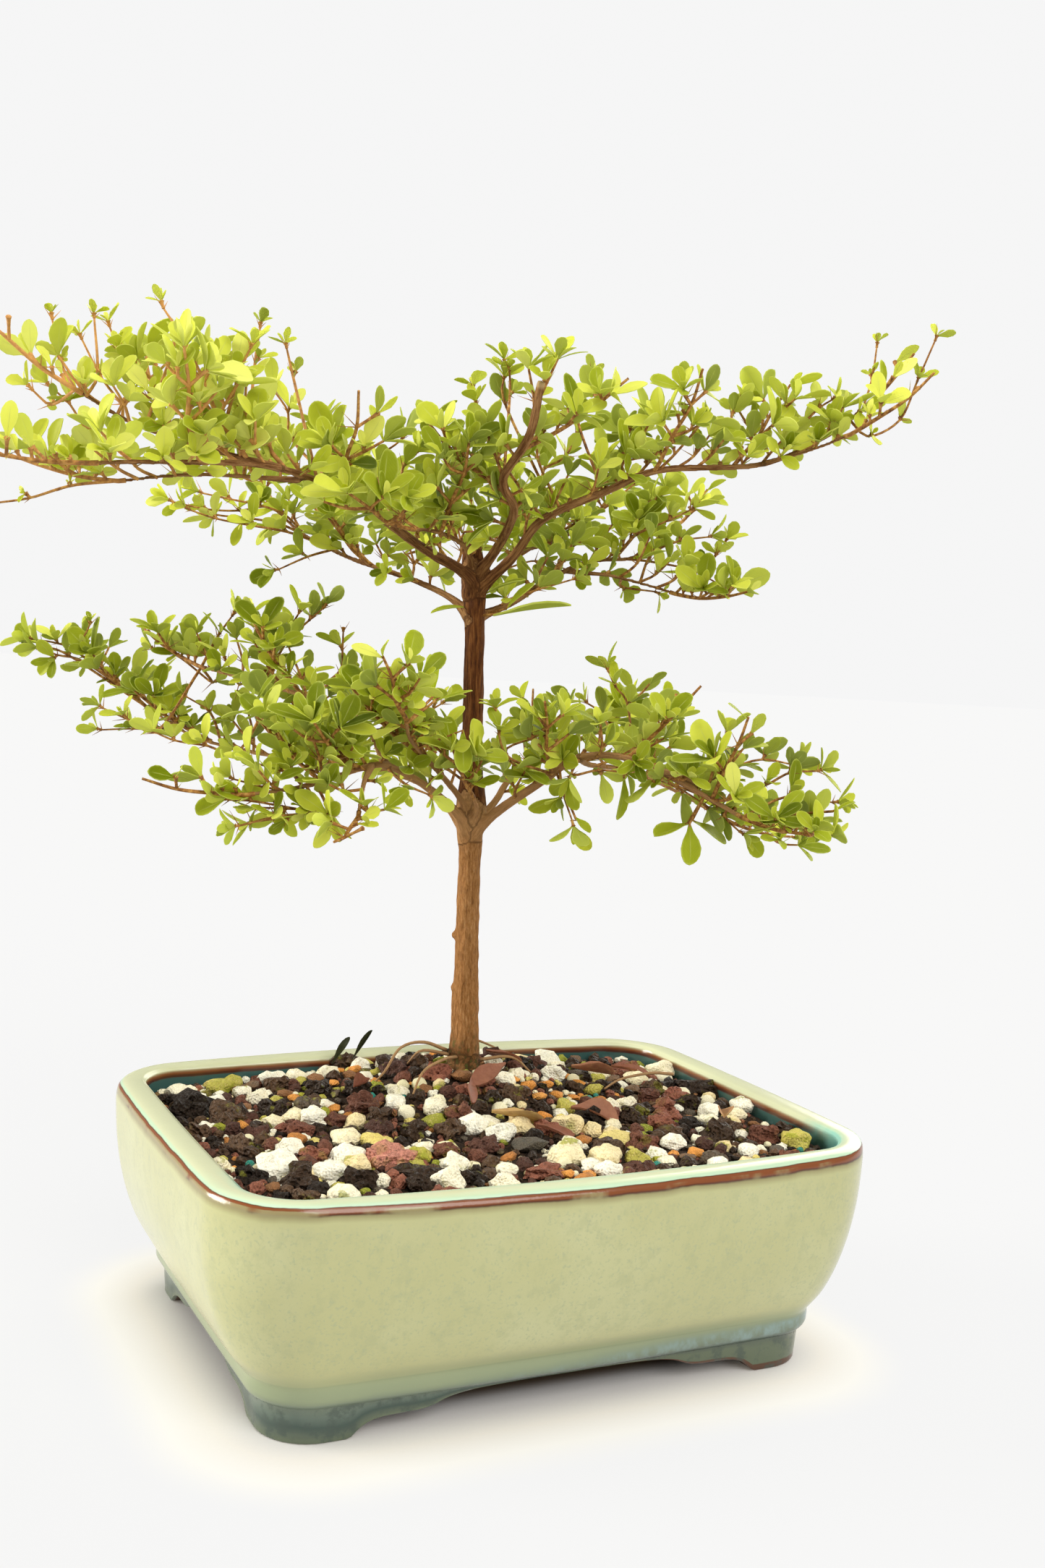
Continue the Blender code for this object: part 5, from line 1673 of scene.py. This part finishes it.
def side_twig(bm, crowd, rng, start, heading, length, size=1.0):
    """A short zigzag twig with a rosette at its knee and one at its tip."""
    sideways = heading.cross(UP).normalized()
    hand = rng.choice((-1, 1))
    knee = start + heading * length * 0.5 + sideways * hand * length * 0.07
    tip = (start + heading * length - sideways * hand * length * 0.05
           + UP * length * rng.uniform(0.05, 0.3))
    before = len(bm.faces)
    path, sizes = fine_path([start, knee, tip], [0.52, 0.45, 0.34], 2.4)
    tube(bm, path, sizes, 6)
    axis = (UP + sideways * hand * 0.8 + heading * 0.2).normalized()
    bud = knee + axis * rng.uniform(1.4, 2.6)
    spur(bm, knee, bud)
    for turn in (-1, 1):
        out = (UP * 0.8 - sideways * hand + heading * 0.5 * turn).normalized()
        spine(bm, knee, out, rng.uniform(4, 7))
    twig_faces(bm, before)
    end_axis = ((tip - knee).normalized() + UP * 0.4).normalized()
    return (grow_rosette(bm, crowd, rng, bud, axis, *square_to(axis, heading), [],
                         rng.randint(4, 6), 0.85 * size)
            + grow_rosette(bm, crowd, rng, tip, end_axis, *square_to(end_axis, sideways), [],
                           rng.randint(5, 7), 0.9 * size))


print("a short twig carries two rosettes")

# %% Growing a stem
# Below these fills a stem's node grows no twig, and no spurs beside it.
TWIG_FILL, SPUR_FILL = 0.45, 0.25


def new_spray():
    bm = bmesh.new()
    bm.loops.layers.uv.new("leaf")
    bm.verts.layers.float.new("tint")
    bm.verts.layers.float.new("under")
    return bm


def finish_spray(bm, name, paints, replaced=()):
    new_piece(bm, name, paints, replaced, smooth_angle=60)


def grow_stem(stem, crowd, paints):
    name, inside, points, rosettes = stem
    rng = random.Random(name + " leaves")
    bm = new_spray()
    path, sizes = fine_path([inside] + points, [0.75, 0.68, 0.6, 0.5, 0.38], 2.2)
    tube(bm, path, sizes, 7)
    for node, point in enumerate(points[1:-1]):
        direction = (points[node + 2] - point).normalized()
        centre, axis = rosettes[node][:2]
        spur(bm, point, centre)
        for side in (-1, 1):
            out = (-axis + UP * 0.9 + direction * rng.uniform(0.2, 0.7) * side).normalized()
            spine(bm, point, out, rng.uniform(4.5, 7.5))
    twig_faces(bm, 0)
    grown = 0
    fullness = FULLNESS.get(name, (1, 1, 1))
    for number, (rosette, fill) in enumerate(zip(rosettes, fullness)):
        first = plan_leaves(name, number, *rosette[1:])
        grown += grow_rosette(bm, crowd, rng, *rosette, first, rng.randint(4, 6), 0.95, fill)
    for node, fill in zip(range(STEM_NODES), fullness):
        heading = (points[node + 2] - points[node + 1]).normalized()
        away = (heading * 0.8 - rosettes[node][1] + UP * rng.uniform(0.2, 0.9)).normalized()
        if fill > TWIG_FILL:
            grown += side_twig(bm, crowd, rng, points[node + 1], away,
                               rng.uniform(8, 13) * min(fill, 1))
    for node, fill in zip(range(STEM_NODES), fullness):
        if fill < SPUR_FILL:
            continue
        start, end = points[node], points[node + 1]
        for share in (rng.uniform(0.25, 0.4), rng.uniform(0.6, 0.75)):
            middle = start.lerp(end, share)
            direction = (end - start).normalized()
            hand = rng.choice((-1, 1))
            axis = (UP * rng.uniform(0.2, 1) + direction.cross(UP) * hand * rng.uniform(0.3, 1.0)
                    + direction * 0.3).normalized()
            before = len(bm.faces)
            centre = middle + axis * rng.uniform(1.8, 3.2)
            spur(bm, middle, centre)
            twig_faces(bm, before)
            grown += grow_rosette(bm, crowd, rng, centre, axis, *square_to(axis, direction), [],
                                  rng.randint(4, 6), 0.85, fill)
    finish_spray(bm, name + "_leaves", paints, [name])
    return grown


print("stems have", STEM_NODES, "nodes and a tip")

# %% [markdown]
# ## Finish of leaves and twigs
# The leaf's colour goes from dark green through olive to lime with its tint. A pale midrib and
# fine side veins come from the UV map, the underside is paler and duller, and some light
# passes through: a Translucent shader of one colour is mixed in by a constant share, because
# only the main shader's colour may change over the leaf.


# %% Leaf and twig materials
LEAF_GLOW, GLOW_SHARE = (0.73, 0.80, 0.05), 0.34


def make_leaf_paint():
    leaf = Paint("leaf", Specular_IOR_Level=0.10)
    tint = leaf.attribute("tint")
    under = leaf.attribute("under")
    chart = leaf.add("ShaderNodeUVMap", {"uv_map": "leaf"})
    across, run = leaf.part(chart, "X"), leaf.part(chart, "Y")
    from_rib = abs(across - 0.5) * 2
    blotch = leaf.noise(leaf.place(), 300, detail=3)
    colour = leaf.ramp(tint + (blotch - 0.5) * 0.14, [
        (0.0, (0.042, 0.070, 0.003)), (0.2, (0.130, 0.170, 0.006)), (0.4, (0.37, 0.42, 0.022)),
        (0.6, (0.63, 0.66, 0.055)), (0.8, (0.86, 0.87, 0.12)), (1.0, (0.95, 0.94, 0.22))])
    rib = leaf.fade(from_rib, 0.10, 0.02) * leaf.fade(run, 1.0, 0.6)
    veins = leaf.add("ShaderNodeMath", {"operation": "SINE"}, {0: (run + from_rib * 0.28) * 75})
    # The pale lime margin is partly the leaf's own pale edge and partly painted rim light, where
    # light shines through it.
    edge = leaf.add("ShaderNodeMath", {"operation": "MAXIMUM"}, {
        0: leaf.fade(from_rib, 0.80, 1.0), 1: leaf.fade(run, 0.93, 1.0)})
    colour = leaf.mix(rib * 0.40, colour, (0.72, 0.74, 0.22))
    colour = leaf.mix(leaf.fade(veins, 0.6, 1.0) * 0.08, colour, (0.62, 0.68, 0.18))
    colour = leaf.mix(edge * 0.42, colour, (0.84, 0.88, 0.22))
    colour = leaf.mix(under * 0.40, colour, (0.50, 0.56, 0.17))
    leaf.finish(colour, 0.42 + under * 0.3, rib * -1 + veins * 0.08 + blotch * 0.4, 0.00006)
    glow = leaf.add("ShaderNodeBsdfTranslucent", {}, {"Color": LEAF_GLOW})
    out = leaf.nodes["Material Output"]
    leaf.feed(out.inputs["Surface"], leaf.add("ShaderNodeMixShader", {}, {
        0: GLOW_SHARE, 1: Wire(leaf, leaf.shader.outputs[0]), 2: glow}))
    return leaf


def make_twig_paint():
    twig = Paint("twig", Specular_IOR_Level=0.3)
    streak = twig.noise(twig.place(), 700, detail=4)
    colour = twig.ramp(streak, [(0.32, (0.120, 0.040, 0.008)), (0.50, (0.33, 0.140, 0.026)),
                                (0.68, (0.56, 0.31, 0.080))])
    side = twig.part(twig.place(), "X") - POT_CENTRE.x * MM
    height = twig.part(twig.place(), "Z")
    # Painted light: twigs high on the crown's left are lightened to a warm orange where the light
    # falls.
    painted_sunlight = twig.fade(side, -0.035, -0.105) * twig.fade(height, 0.235, 0.262)
    colour = twig.mix(painted_sunlight * 0.5, colour, (0.80, 0.40, 0.12))
    return twig.finish(colour, 0.55 + streak * 0.3, streak, 0.0002)


SPRAY_PAINTS = [make_leaf_paint(), make_twig_paint()]
bm = bmesh.new()
bm.from_mesh(trunk.data)
bm.transform(PLACE.inverted())
crowd = Crowd(BVHTree.FromBMesh(bm))
bm.free()
total = 0
for stem in STEMS:
    total += grow_stem(stem, crowd, SPRAY_PAINTS)
print(total, "leaves on", len(STEMS), "stems")

# %% [markdown]
# ## Spurs along the limbs
# The limbs carry rosettes of their own on short spurs, closer together towards their ends, as
# leaves crowd where light reaches, and the inner part stays bare. Walking along the limb in
# uneven steps gives that rhythm, which a random scatter would not.


# %% Rosettes on the limbs
# How far the twigs of a limb rise, where not 1.
RISE = {"lower_right": 0.35, "lower_back_right": 0.35, "lower_right_back": 0.6,
        "upper_right": 0.75, "lower_left_near": 0.4, "cut_leader": 0.7}
TWIG_CHANCE, SPINE_CHANCE = 0.42, 0.7
# How much of a limb stays bare, where it leaves the trunk and where it leaves a limb.
BARE_FROM_TRUNK, BARE_FROM_LIMB = 20.0, 4.0


def grow_limb_spurs(limb, crowd, paints):
    name, start_radius, tip_radius, stations = limb[:4]
    rng = random.Random(name + " spurs")
    rise = RISE.get(name, 1.0)
    points = [station_point(*station) for station in stations]
    radii = limb_radii(points, start_radius, tip_radius)
    length = sum((b - a).length for a, b in zip(points, points[1:]))
    bare = BARE_FROM_TRUNK if stations[0][0] == 0 else BARE_FROM_LIMB
    reach = bare + rng.uniform(0, 5)
    hand = 1
    grown = 0
    bm = new_spray()
    while reach < length - 3:
        point, direction, radius = along(points, radii, reach / length)
        radius *= SLIM
        sideways = direction.cross(UP).normalized()
        axis = (UP * rng.uniform(0.1, 1.1) * rise + sideways * hand * rng.uniform(0.3, 1.0)
                + direction * rng.uniform(0, 0.4)).normalized()
        hand = -hand
        if rng.random() < TWIG_CHANCE:
            away = (axis * 0.8 + direction * rng.uniform(0.3, 1.2) + UP * 0.25 * rise).normalized()
            grown += side_twig(bm, crowd, rng, point, away, rng.uniform(10, 17))
            reach += rng.uniform(5.0, 8.0)
            continue
        centre = point + axis * (radius + rng.uniform(1.6, 4.0))
        before = len(bm.faces)
        spur(bm, point, centre)
        if rng.random() < SPINE_CHANCE:
            out = (axis - sideways * hand * 0.8 + direction * 0.6).normalized()
            spine(bm, point + out * radius * 0.6, out, rng.uniform(4, 7))
        twig_faces(bm, before)
        grown += grow_rosette(bm, crowd, rng, centre, axis, *square_to(axis, direction), [],
                              rng.randint(4, 7), rng.uniform(0.7, 1.0))
        reach += rng.uniform(4.0, 7.5)
    if grown:
        finish_spray(bm, name + "_spurs", paints)
    else:
        bm.free()
    return grown


for limb in LIMBS:
    total += grow_limb_spurs(limb, crowd, SPRAY_PAINTS)
print(total, "leaves in all")

# %% [markdown]
# ## Sprigs that stand out
# Some sprigs catch the eye in the picture: thin ones that stand above the crown, and some that
# hang from the lower tier. No rule would put them there, so each is a short row of points
# with a rosette at every one, and it starts on the nearest limb.

# %% Places of the sprigs and single leaves
# Size of the leaves, 1 for a rising or -1 for a hanging sprig, and its points.
UPPER_SPRIGS = [
    (1.00, 1, [(18, 21, 262), (24, 18, 267), (27, 17, 274)]),
    (0.80, 1, [(3, 18, 280), (1, 17, 288), (0, 15, 292)]),
    (0.90, 1, [(-25, 31, 260), (-22, 29, 264)]),
    (0.90, 1, [(88, -18, 280), (92, -20, 286), (96, -21, 289)]),
    (0.40, 1, [(104, -26, 286), (107, -26, 296), (108, -26, 306)]),
    (0.80, 1, [(15, 36, 222), (24, 32, 226), (34, 27, 230)]),
    (0.75, 1, [(-123, 18, 259), (-128, 18, 265), (-133, 19, 269)]),
    (0.90, 1, [(-89, -9, 274), (-87, -12, 281)]),
    (0.70, 1, [(38, 11, 266), (42, 10, 276)]),
    (0.90, 1, [(-41, 93, 242), (-53, 93, 243), (-66, 91, 244), (-75, 91, 246)]),
    (0.90, -1, [(-43, 98, 245), (-54, 100, 246), (-64, 99, 246), (-76, 96, 248)]),
    (0.80, 1, [(-41, 97, 248), (-51, 93, 250), (-61, 93, 251), (-71, 92, 252)]),
    (0.50, 1, [(-115, 14, 266), (-120, 17, 273), (-125, 20, 283)]),
    (0.60, 1, [(-112, 13, 274), (-116, 14, 280), (-119, 13, 286)]),
    (0.55, 1, [(-133, 17, 264), (-138, 16, 267)]),
    (0.85, 1, [(-60, 32, 264), (-63, 29, 272), (-67, 29, 277)]),
    (0.80, 1, [(-1, 25, 272), (-3, 27, 281), (-4, 28, 286)]),
    (1.00, 1, [(12, 12, 264), (12, 13, 270)]),
    (0.80, 1, [(62, 37, 247), (73, 34, 253), (80, 32, 257)]),
    (0.75, 1, [(67, 34, 241), (75, 30, 246), (84, 26, 248)]),
    (0.60, 1, [(84, 31, 237), (89, 29, 242), (92, 28, 247)]),
    (1.00, 1, [(0, 28, 237), (-3, 24, 244), (-4, 25, 250)]),
    (0.80, -1, [(30, 74, 234), (40, 67, 238), (51, 60, 235)]),
    (0.60, -1, [(61, 42, 230), (71, 37, 229)]),
    (0.80, 1, [(68, -8, 282), (70, -9, 286)]), (0.80, -1, [(-1, 84, 237), (8, 79, 232)]),
    (0.80, 1, [(-44, 106, 251), (-57, 98, 248), (-69, 93, 247), (-81, 90, 248)]),
    (0.90, 1, [(-35, 89, 234), (-45, 88, 229)]), (0.45, 1, [(-104, 1, 283), (-107, 3, 291)]),
    (0.50, 1, [(-78, 14, 282), (-77, 14, 292)]), (0.50, 1, [(-66, 16, 280), (-68, 17, 288)]),
    (0.45, 1, [(-123, 7, 272), (-124, 9, 287)]), (0.35, 1, [(-132, 12, 275), (-134, 14, 286)]),
    (0.60, 1, [(2, 14, 283), (1, 13, 290)]), (0.55, 1, [(23, 10, 280), (28, 11, 291)]),
    (0.35, 1, [(-125, 28, 244), (-135, 33, 240), (-144, 38, 238)]),
    (0.80, 1, [(-31, 39, 260), (-24, 36, 269)]), (0.80, 1, [(2, 44, 243), (11, 39, 242)]),
    (0.80, 1, [(39, 7, 266), (48, 6, 269)]),
    (0.55, 1, [(105, -29, 278), (115, -31, 284), (119, -33, 296), (124, -34, 309)]),
    (0.80, 1, [(69, 38, 239), (82, 32, 237), (90, 28, 233)]),
]
LOWER_SPRIGS = [
    (1.00, 1, [(-53, 4, 155), (-60, 6, 156), (-67, 9, 157), (-74, 11, 158), (-80, 13, 158)]),
    (0.90, -1, [(-51, 5, 156), (-57, 7, 156), (-64, 10, 156), (-71, 12, 156)]),
    (0.80, 1, [(-67, 50, 170), (-76, 55, 171), (-85, 59, 172), (-90, 62, 174)]),
    (0.70, 1, [(-85, 81, 174), (-94, 86, 177), (-101, 90, 180)]),
    (0.90, 1, [(43, -25, 169), (51, -29, 166), (56, -32, 163)]),
    (0.85, -1, [(41, -21, 170), (47, -26, 167), (53, -30, 163)]),
    (0.80, 1, [(-48, 66, 205), (-42, 63, 212), (-38, 62, 216)]),
    (0.80, 1, [(-67, 85, 190), (-77, 91, 198), (-84, 95, 200)]),
    (0.80, 1, [(-21, 28, 181), (-11, 24, 188)]),
    (0.90, 1, [(7, 14, 174), (14, 10, 179), (19, 8, 182)]),
    (0.95, 1, [(-105, 129, 196), (-114, 131, 199)]), (0.45, 1, [(-100, 127, 198), (-99, 127, 207)]),
    (0.70, 1, [(-78, 100, 173), (-87, 105, 173), (-97, 110, 172)]),
    (0.80, 1, [(-67, 81, 205), (-63, 79, 212)]), (0.80, 1, [(-48, 66, 208), (-45, 65, 214)]),
    (0.70, 1, [(-58, 5, 156), (-68, 7, 154), (-78, 9, 151)]),
    (0.90, 1, [(73, -44, 167), (85, -50, 166)]), (0.90, -1, [(21, 0, 163), (23, -3, 155)]),
    (0.85, 1, [(57, -35, 160), (60, -39, 156)]),
    (0.85, 1, [(-102, 128, 197), (-109, 129, 200), (-117, 131, 201)]),
    (0.85, -1, [(-100, 126, 194), (-109, 129, 196), (-114, 129, 198)]),
    (0.80, 1, [(-33, 57, 196), (-32, 58, 203), (-32, 58, 209)]),
    (0.90, 1, [(-60, 7, 161), (-70, 10, 162), (-79, 13, 164)]),
    (0.90, 1, [(-58, 7, 164), (-66, 9, 167), (-74, 12, 169)]),
    (0.75, -1, [(-56, 5, 156), (-64, 7, 154), (-74, 10, 152)]),
    (0.80, 1, [(-67, 85, 180), (-75, 86, 185)]), (0.80, 1, [(-62, 71, 190), (-66, 72, 197)]),
    (0.80, 1, [(61, 33, 190), (57, 35, 196), (55, 37, 201)]),
    (0.80, 1, [(56, 41, 186), (51, 43, 190)]),
    (0.80, 1, [(67, -41, 170), (73, -44, 174), (81, -47, 175)]),
    (0.80, 1, [(66, -27, 174), (73, -30, 177), (81, -34, 176)]),
    (0.80, 1, [(4, 4, 173), (0, 4, 180), (-1, 5, 187)]),
    (0.90, -1, [(21, -5, 169), (27, -10, 171), (33, -15, 171)]),
    (0.90, 1, [(-23, 7, 180), (-22, 4, 187)]), (0.80, -1, [(-28, 8, 164), (-20, 9, 161)]),
    (0.80, 1, [(55, -32, 177), (57, -33, 183)]),
]
# Single long leaves near the forks: the stalk's place and the tip's.
LONG_ONES = [((8, 30, 217), (24, 9, 223)), ((6, 35, 223), (14, 24, 231)),
             ((2, 37, 219), (-11, 35, 219)), ((34, -14, 170), (35, -15, 155))]
# Single broad leaves that hang or stand alone.
BROAD_ONES = [
    ((49, -28, 157), (39, -26, 152)), ((49, -29, 157), (49, -32, 145)),
    ((50, -29, 158), (60, -34, 153)), ((110, -28, 292), (109, -29, 302)),
    ((24, -3, 156), (25, -6, 149)), ((-13, 2, 181), (-16, 0, 168)),
    ((-25, -3, 191), (-27, -3, 203)), ((-24, -3, 190), (-15, -8, 193)),
    ((-32, 57, 195), (-31, 58, 211)), ((11, 27, 219), (16, 23, 229)),
    ((80, -57, 164), (85, -61, 167)),
]
print(len(UPPER_SPRIGS) + len(LOWER_SPRIGS), "sprigs and", len(LONG_ONES) + len(BROAD_ONES),
      "single leaves are placed")

# %% Growing the sprigs
THIN_LIMB = 2.3
LOWEST_LIMB = 120
LINES = [(point, size) for point, size, _, _ in SKIN if point.z > LOWEST_LIMB]
LIMB_LINES = [point for point, size in LINES if size < THIN_LIMB]


def nearest(points, spot):
    return min(points, key=lambda point: (point - spot).length)


def grow_sprigs(name, sprigs, crowd, paints):
    rng = random.Random(name)
    bm = new_spray()
    grown = 0
    for size, lean, places in sprigs:
        points = [Vector(place) for place in places]
        start = nearest(LIMB_LINES, points[0])
        path, sizes = fine_path([start] + points, [0.5, *np.linspace(0.42, 0.28, len(points))],
                                2.4)
        before = len(bm.faces)
        tube(bm, path, sizes, 6)
        hand = 1
        for point, last in zip(points, [start] + points):
            heading = (point - last).normalized()
            for side in (-1, 1):
                out = (UP * 0.5 + heading * 0.6 + heading.orthogonal() * side).normalized()
                spine(bm, point, out, rng.uniform(3, 6))
        twig_faces(bm, before)
        for point, last in zip(points, [start] + points):
            heading = (point - last).normalized()
            sideways = heading.cross(UP).normalized() * hand
            axis = (UP * 0.6 * lean + sideways * 0.6 + heading * 0.5).normalized()
            if point is points[-1]:
                axis = (heading + UP * 0.25 * lean).normalized()
            before = len(bm.faces)
            centre = point + axis * rng.uniform(1.0, 2.0)
            spur(bm, point, centre)
            twig_faces(bm, before)
            grown += grow_rosette(bm, crowd, rng, centre, axis, *square_to(axis, heading), [],
                                  rng.randint(4, 6), size)
            hand = -hand
    finish_spray(bm, name, paints)
    return grown


for name, sprigs in (("crown_sprigs", UPPER_SPRIGS), ("lower_sprigs", LOWER_SPRIGS)):
    total += grow_sprigs(name, sprigs, crowd, SPRAY_PAINTS)
print(total, "leaves with the sprigs")

# %% Growing the single leaves
rng = random.Random("long leaves")
bm = new_spray()
for number, (base, tip) in enumerate(LONG_ONES + BROAD_ONES):
    base, tip = Vector(base), Vector(tip)
    run = tip - base
    direction = run.normalized()
    upward = (UP - direction * direction.z + Vector((0, -0.3, 0))).normalized()
    total += try_leaf(bm, crowd, rng, base, direction, upward, run.length, 0.42,
                      LONG_LEAVES if number < len(LONG_ONES) else LEAVES)
    before = len(bm.faces)
    start = nearest([point for point, _ in LINES], base)
    tube(bm, [start, base, base + direction], [0.5, 0.4, 0.3], 6)
    twig_faces(bm, before)
finish_spray(bm, "long_leaves", SPRAY_PAINTS)
print(total, "leaves with the single ones")

# %% [markdown]
# ## Litter
# Fallen leaves have dried to red-brown curls on the grit, two dark blades stand behind, and a
# few thin roots arch over the surface beside the trunk. The leaf templates serve again, bent
# twice as deep by a scale on their third axis, which is quicker than a new shape.

# %% Dried leaves and fine roots
CURL = 2.2
# Stalk end, tip, width against a plain leaf's, tint.
FALLEN = [((15, 17, 75), (0, 9, 72), 0.8, 0.35), ((0, 10, 73), (-5, -2, 68), 0.6, 0.30),
          ((27, -6, 66), (40, -14, 66), 0.9, 0.45), ((-2, -10, 68), (13, -16, 66), 0.8, 0.7),
          ((8, -20, 66), (24, -26, 65), 0.5, 0.3), ((16, 34, 75), (26, 27, 73), 0.9, 0.4),
          ((66, 38, 66), (78, 30, 66), 0.6, 0.35), ((70, -24, 67), (66, -33, 68), 0.8, 0.6),
          ((-26, 30, 69), (-34, 24, 67), 0.7, 0.3), ((46, 30, 69), (58, 22, 67), 0.7, 0.5),
          ((-27, 62, 66), (-22, 62, 75), 0.35, 0.0), ((-20, 62, 67), (-14, 61, 77), 0.3, 0.0)]
ROOTLETS = [[(3, 37, 75), (-7, 33, 79), (-14, 35, 77), (-21, 30, 71), (-24, 33, 66)],
            [(3, 35, 74), (-7, 34, 76), (-10, 38, 71)], [(12, 30, 73), (22, 27, 74), (30, 28, 68)],
            [(4, 31, 74), (-4, 22, 76), (-12, 20, 73), (-18, 14, 67)],
            [(81, 22, 66), (70, 18, 68), (58, 17, 67), (50, 14, 65)],
            [(10, 40, 74), (18, 48, 75), (30, 50, 70)]]


def make_litter():
    dry = Paint("dried_leaf", Specular_IOR_Level=0.3)
    tint = dry.attribute("tint")
    mottle = dry.noise(dry.place(), 500, detail=4)
    dry.finish(dry.ramp(tint + (mottle - 0.5) * 0.3, [
        (0.0, (0.030, 0.035, 0.012)), (0.12, (0.05, 0.045, 0.014)), (0.3, (0.21, 0.070, 0.036)),
        (0.5, (0.33, 0.140, 0.075)), (0.75, (0.52, 0.34, 0.12))]), 0.45 + mottle * 0.3, mottle,
        0.0003)
    bm = new_spray()
    for number, (base, tip, width, tint) in enumerate(FALLEN):
        run = Vector(tip) - Vector(base)
        direction = run.normalized()
        upward = (UP - direction * direction.z + Vector((0.2, -0.4, 0))).normalized()
        matrix = leaf_matrix(Vector(base), direction, upward, run.length)
        stamp(bm, LEAVES[number], matrix @ Matrix.Diagonal((width, 1, CURL, 1)), {"tint": tint})
    leaves = new_piece(bm, "dried_leaves", [dry], smooth_angle=60)
    fibre = Paint("fine_root", Specular_IOR_Level=0.2)
    streak = fibre.noise(fibre.place(), 600, detail=3)
    fibre.finish(fibre.mix(streak, (0.20, 0.105, 0.045), (0.46, 0.28, 0.13)), 0.6 + streak * 0.3,
                 streak, 0.0001)
    bm = bmesh.new()
    for root in ROOTLETS:
        points = [Vector(point) for point in root]
        path, sizes = fine_path(points, np.linspace(0.62, 0.3, len(points)).tolist(), 1.6)
        tube(bm, path, sizes, 7)
    bmesh.ops.recalc_face_normals(bm, faces=bm.faces)
    return leaves, new_piece(bm, "fine_roots", [fibre])


print("litter:", [piece.name for piece in make_litter()])

# %% [markdown]
# ## Drain meshes
# Two plastic screens keep the grit in the pot. The solids already have their square holes, so
# a copy would add nothing. They keep their shape and only need a material.

# %% Screens over the drain holes
plastic = Paint("green_plastic", Specular_IOR_Level=0.4)
scuff = plastic.noise(plastic.place(), 1500, detail=3)
plastic.finish(plastic.mix(scuff, (0.012, 0.022, 0.016), (0.035, 0.055, 0.040)),
               0.45 + scuff * 0.3, scuff, 0.00005)
for name in ("drain_mesh_left", "drain_mesh_right"):
    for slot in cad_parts[name].material_slots:
        slot.material = plastic.material
print("two screens painted")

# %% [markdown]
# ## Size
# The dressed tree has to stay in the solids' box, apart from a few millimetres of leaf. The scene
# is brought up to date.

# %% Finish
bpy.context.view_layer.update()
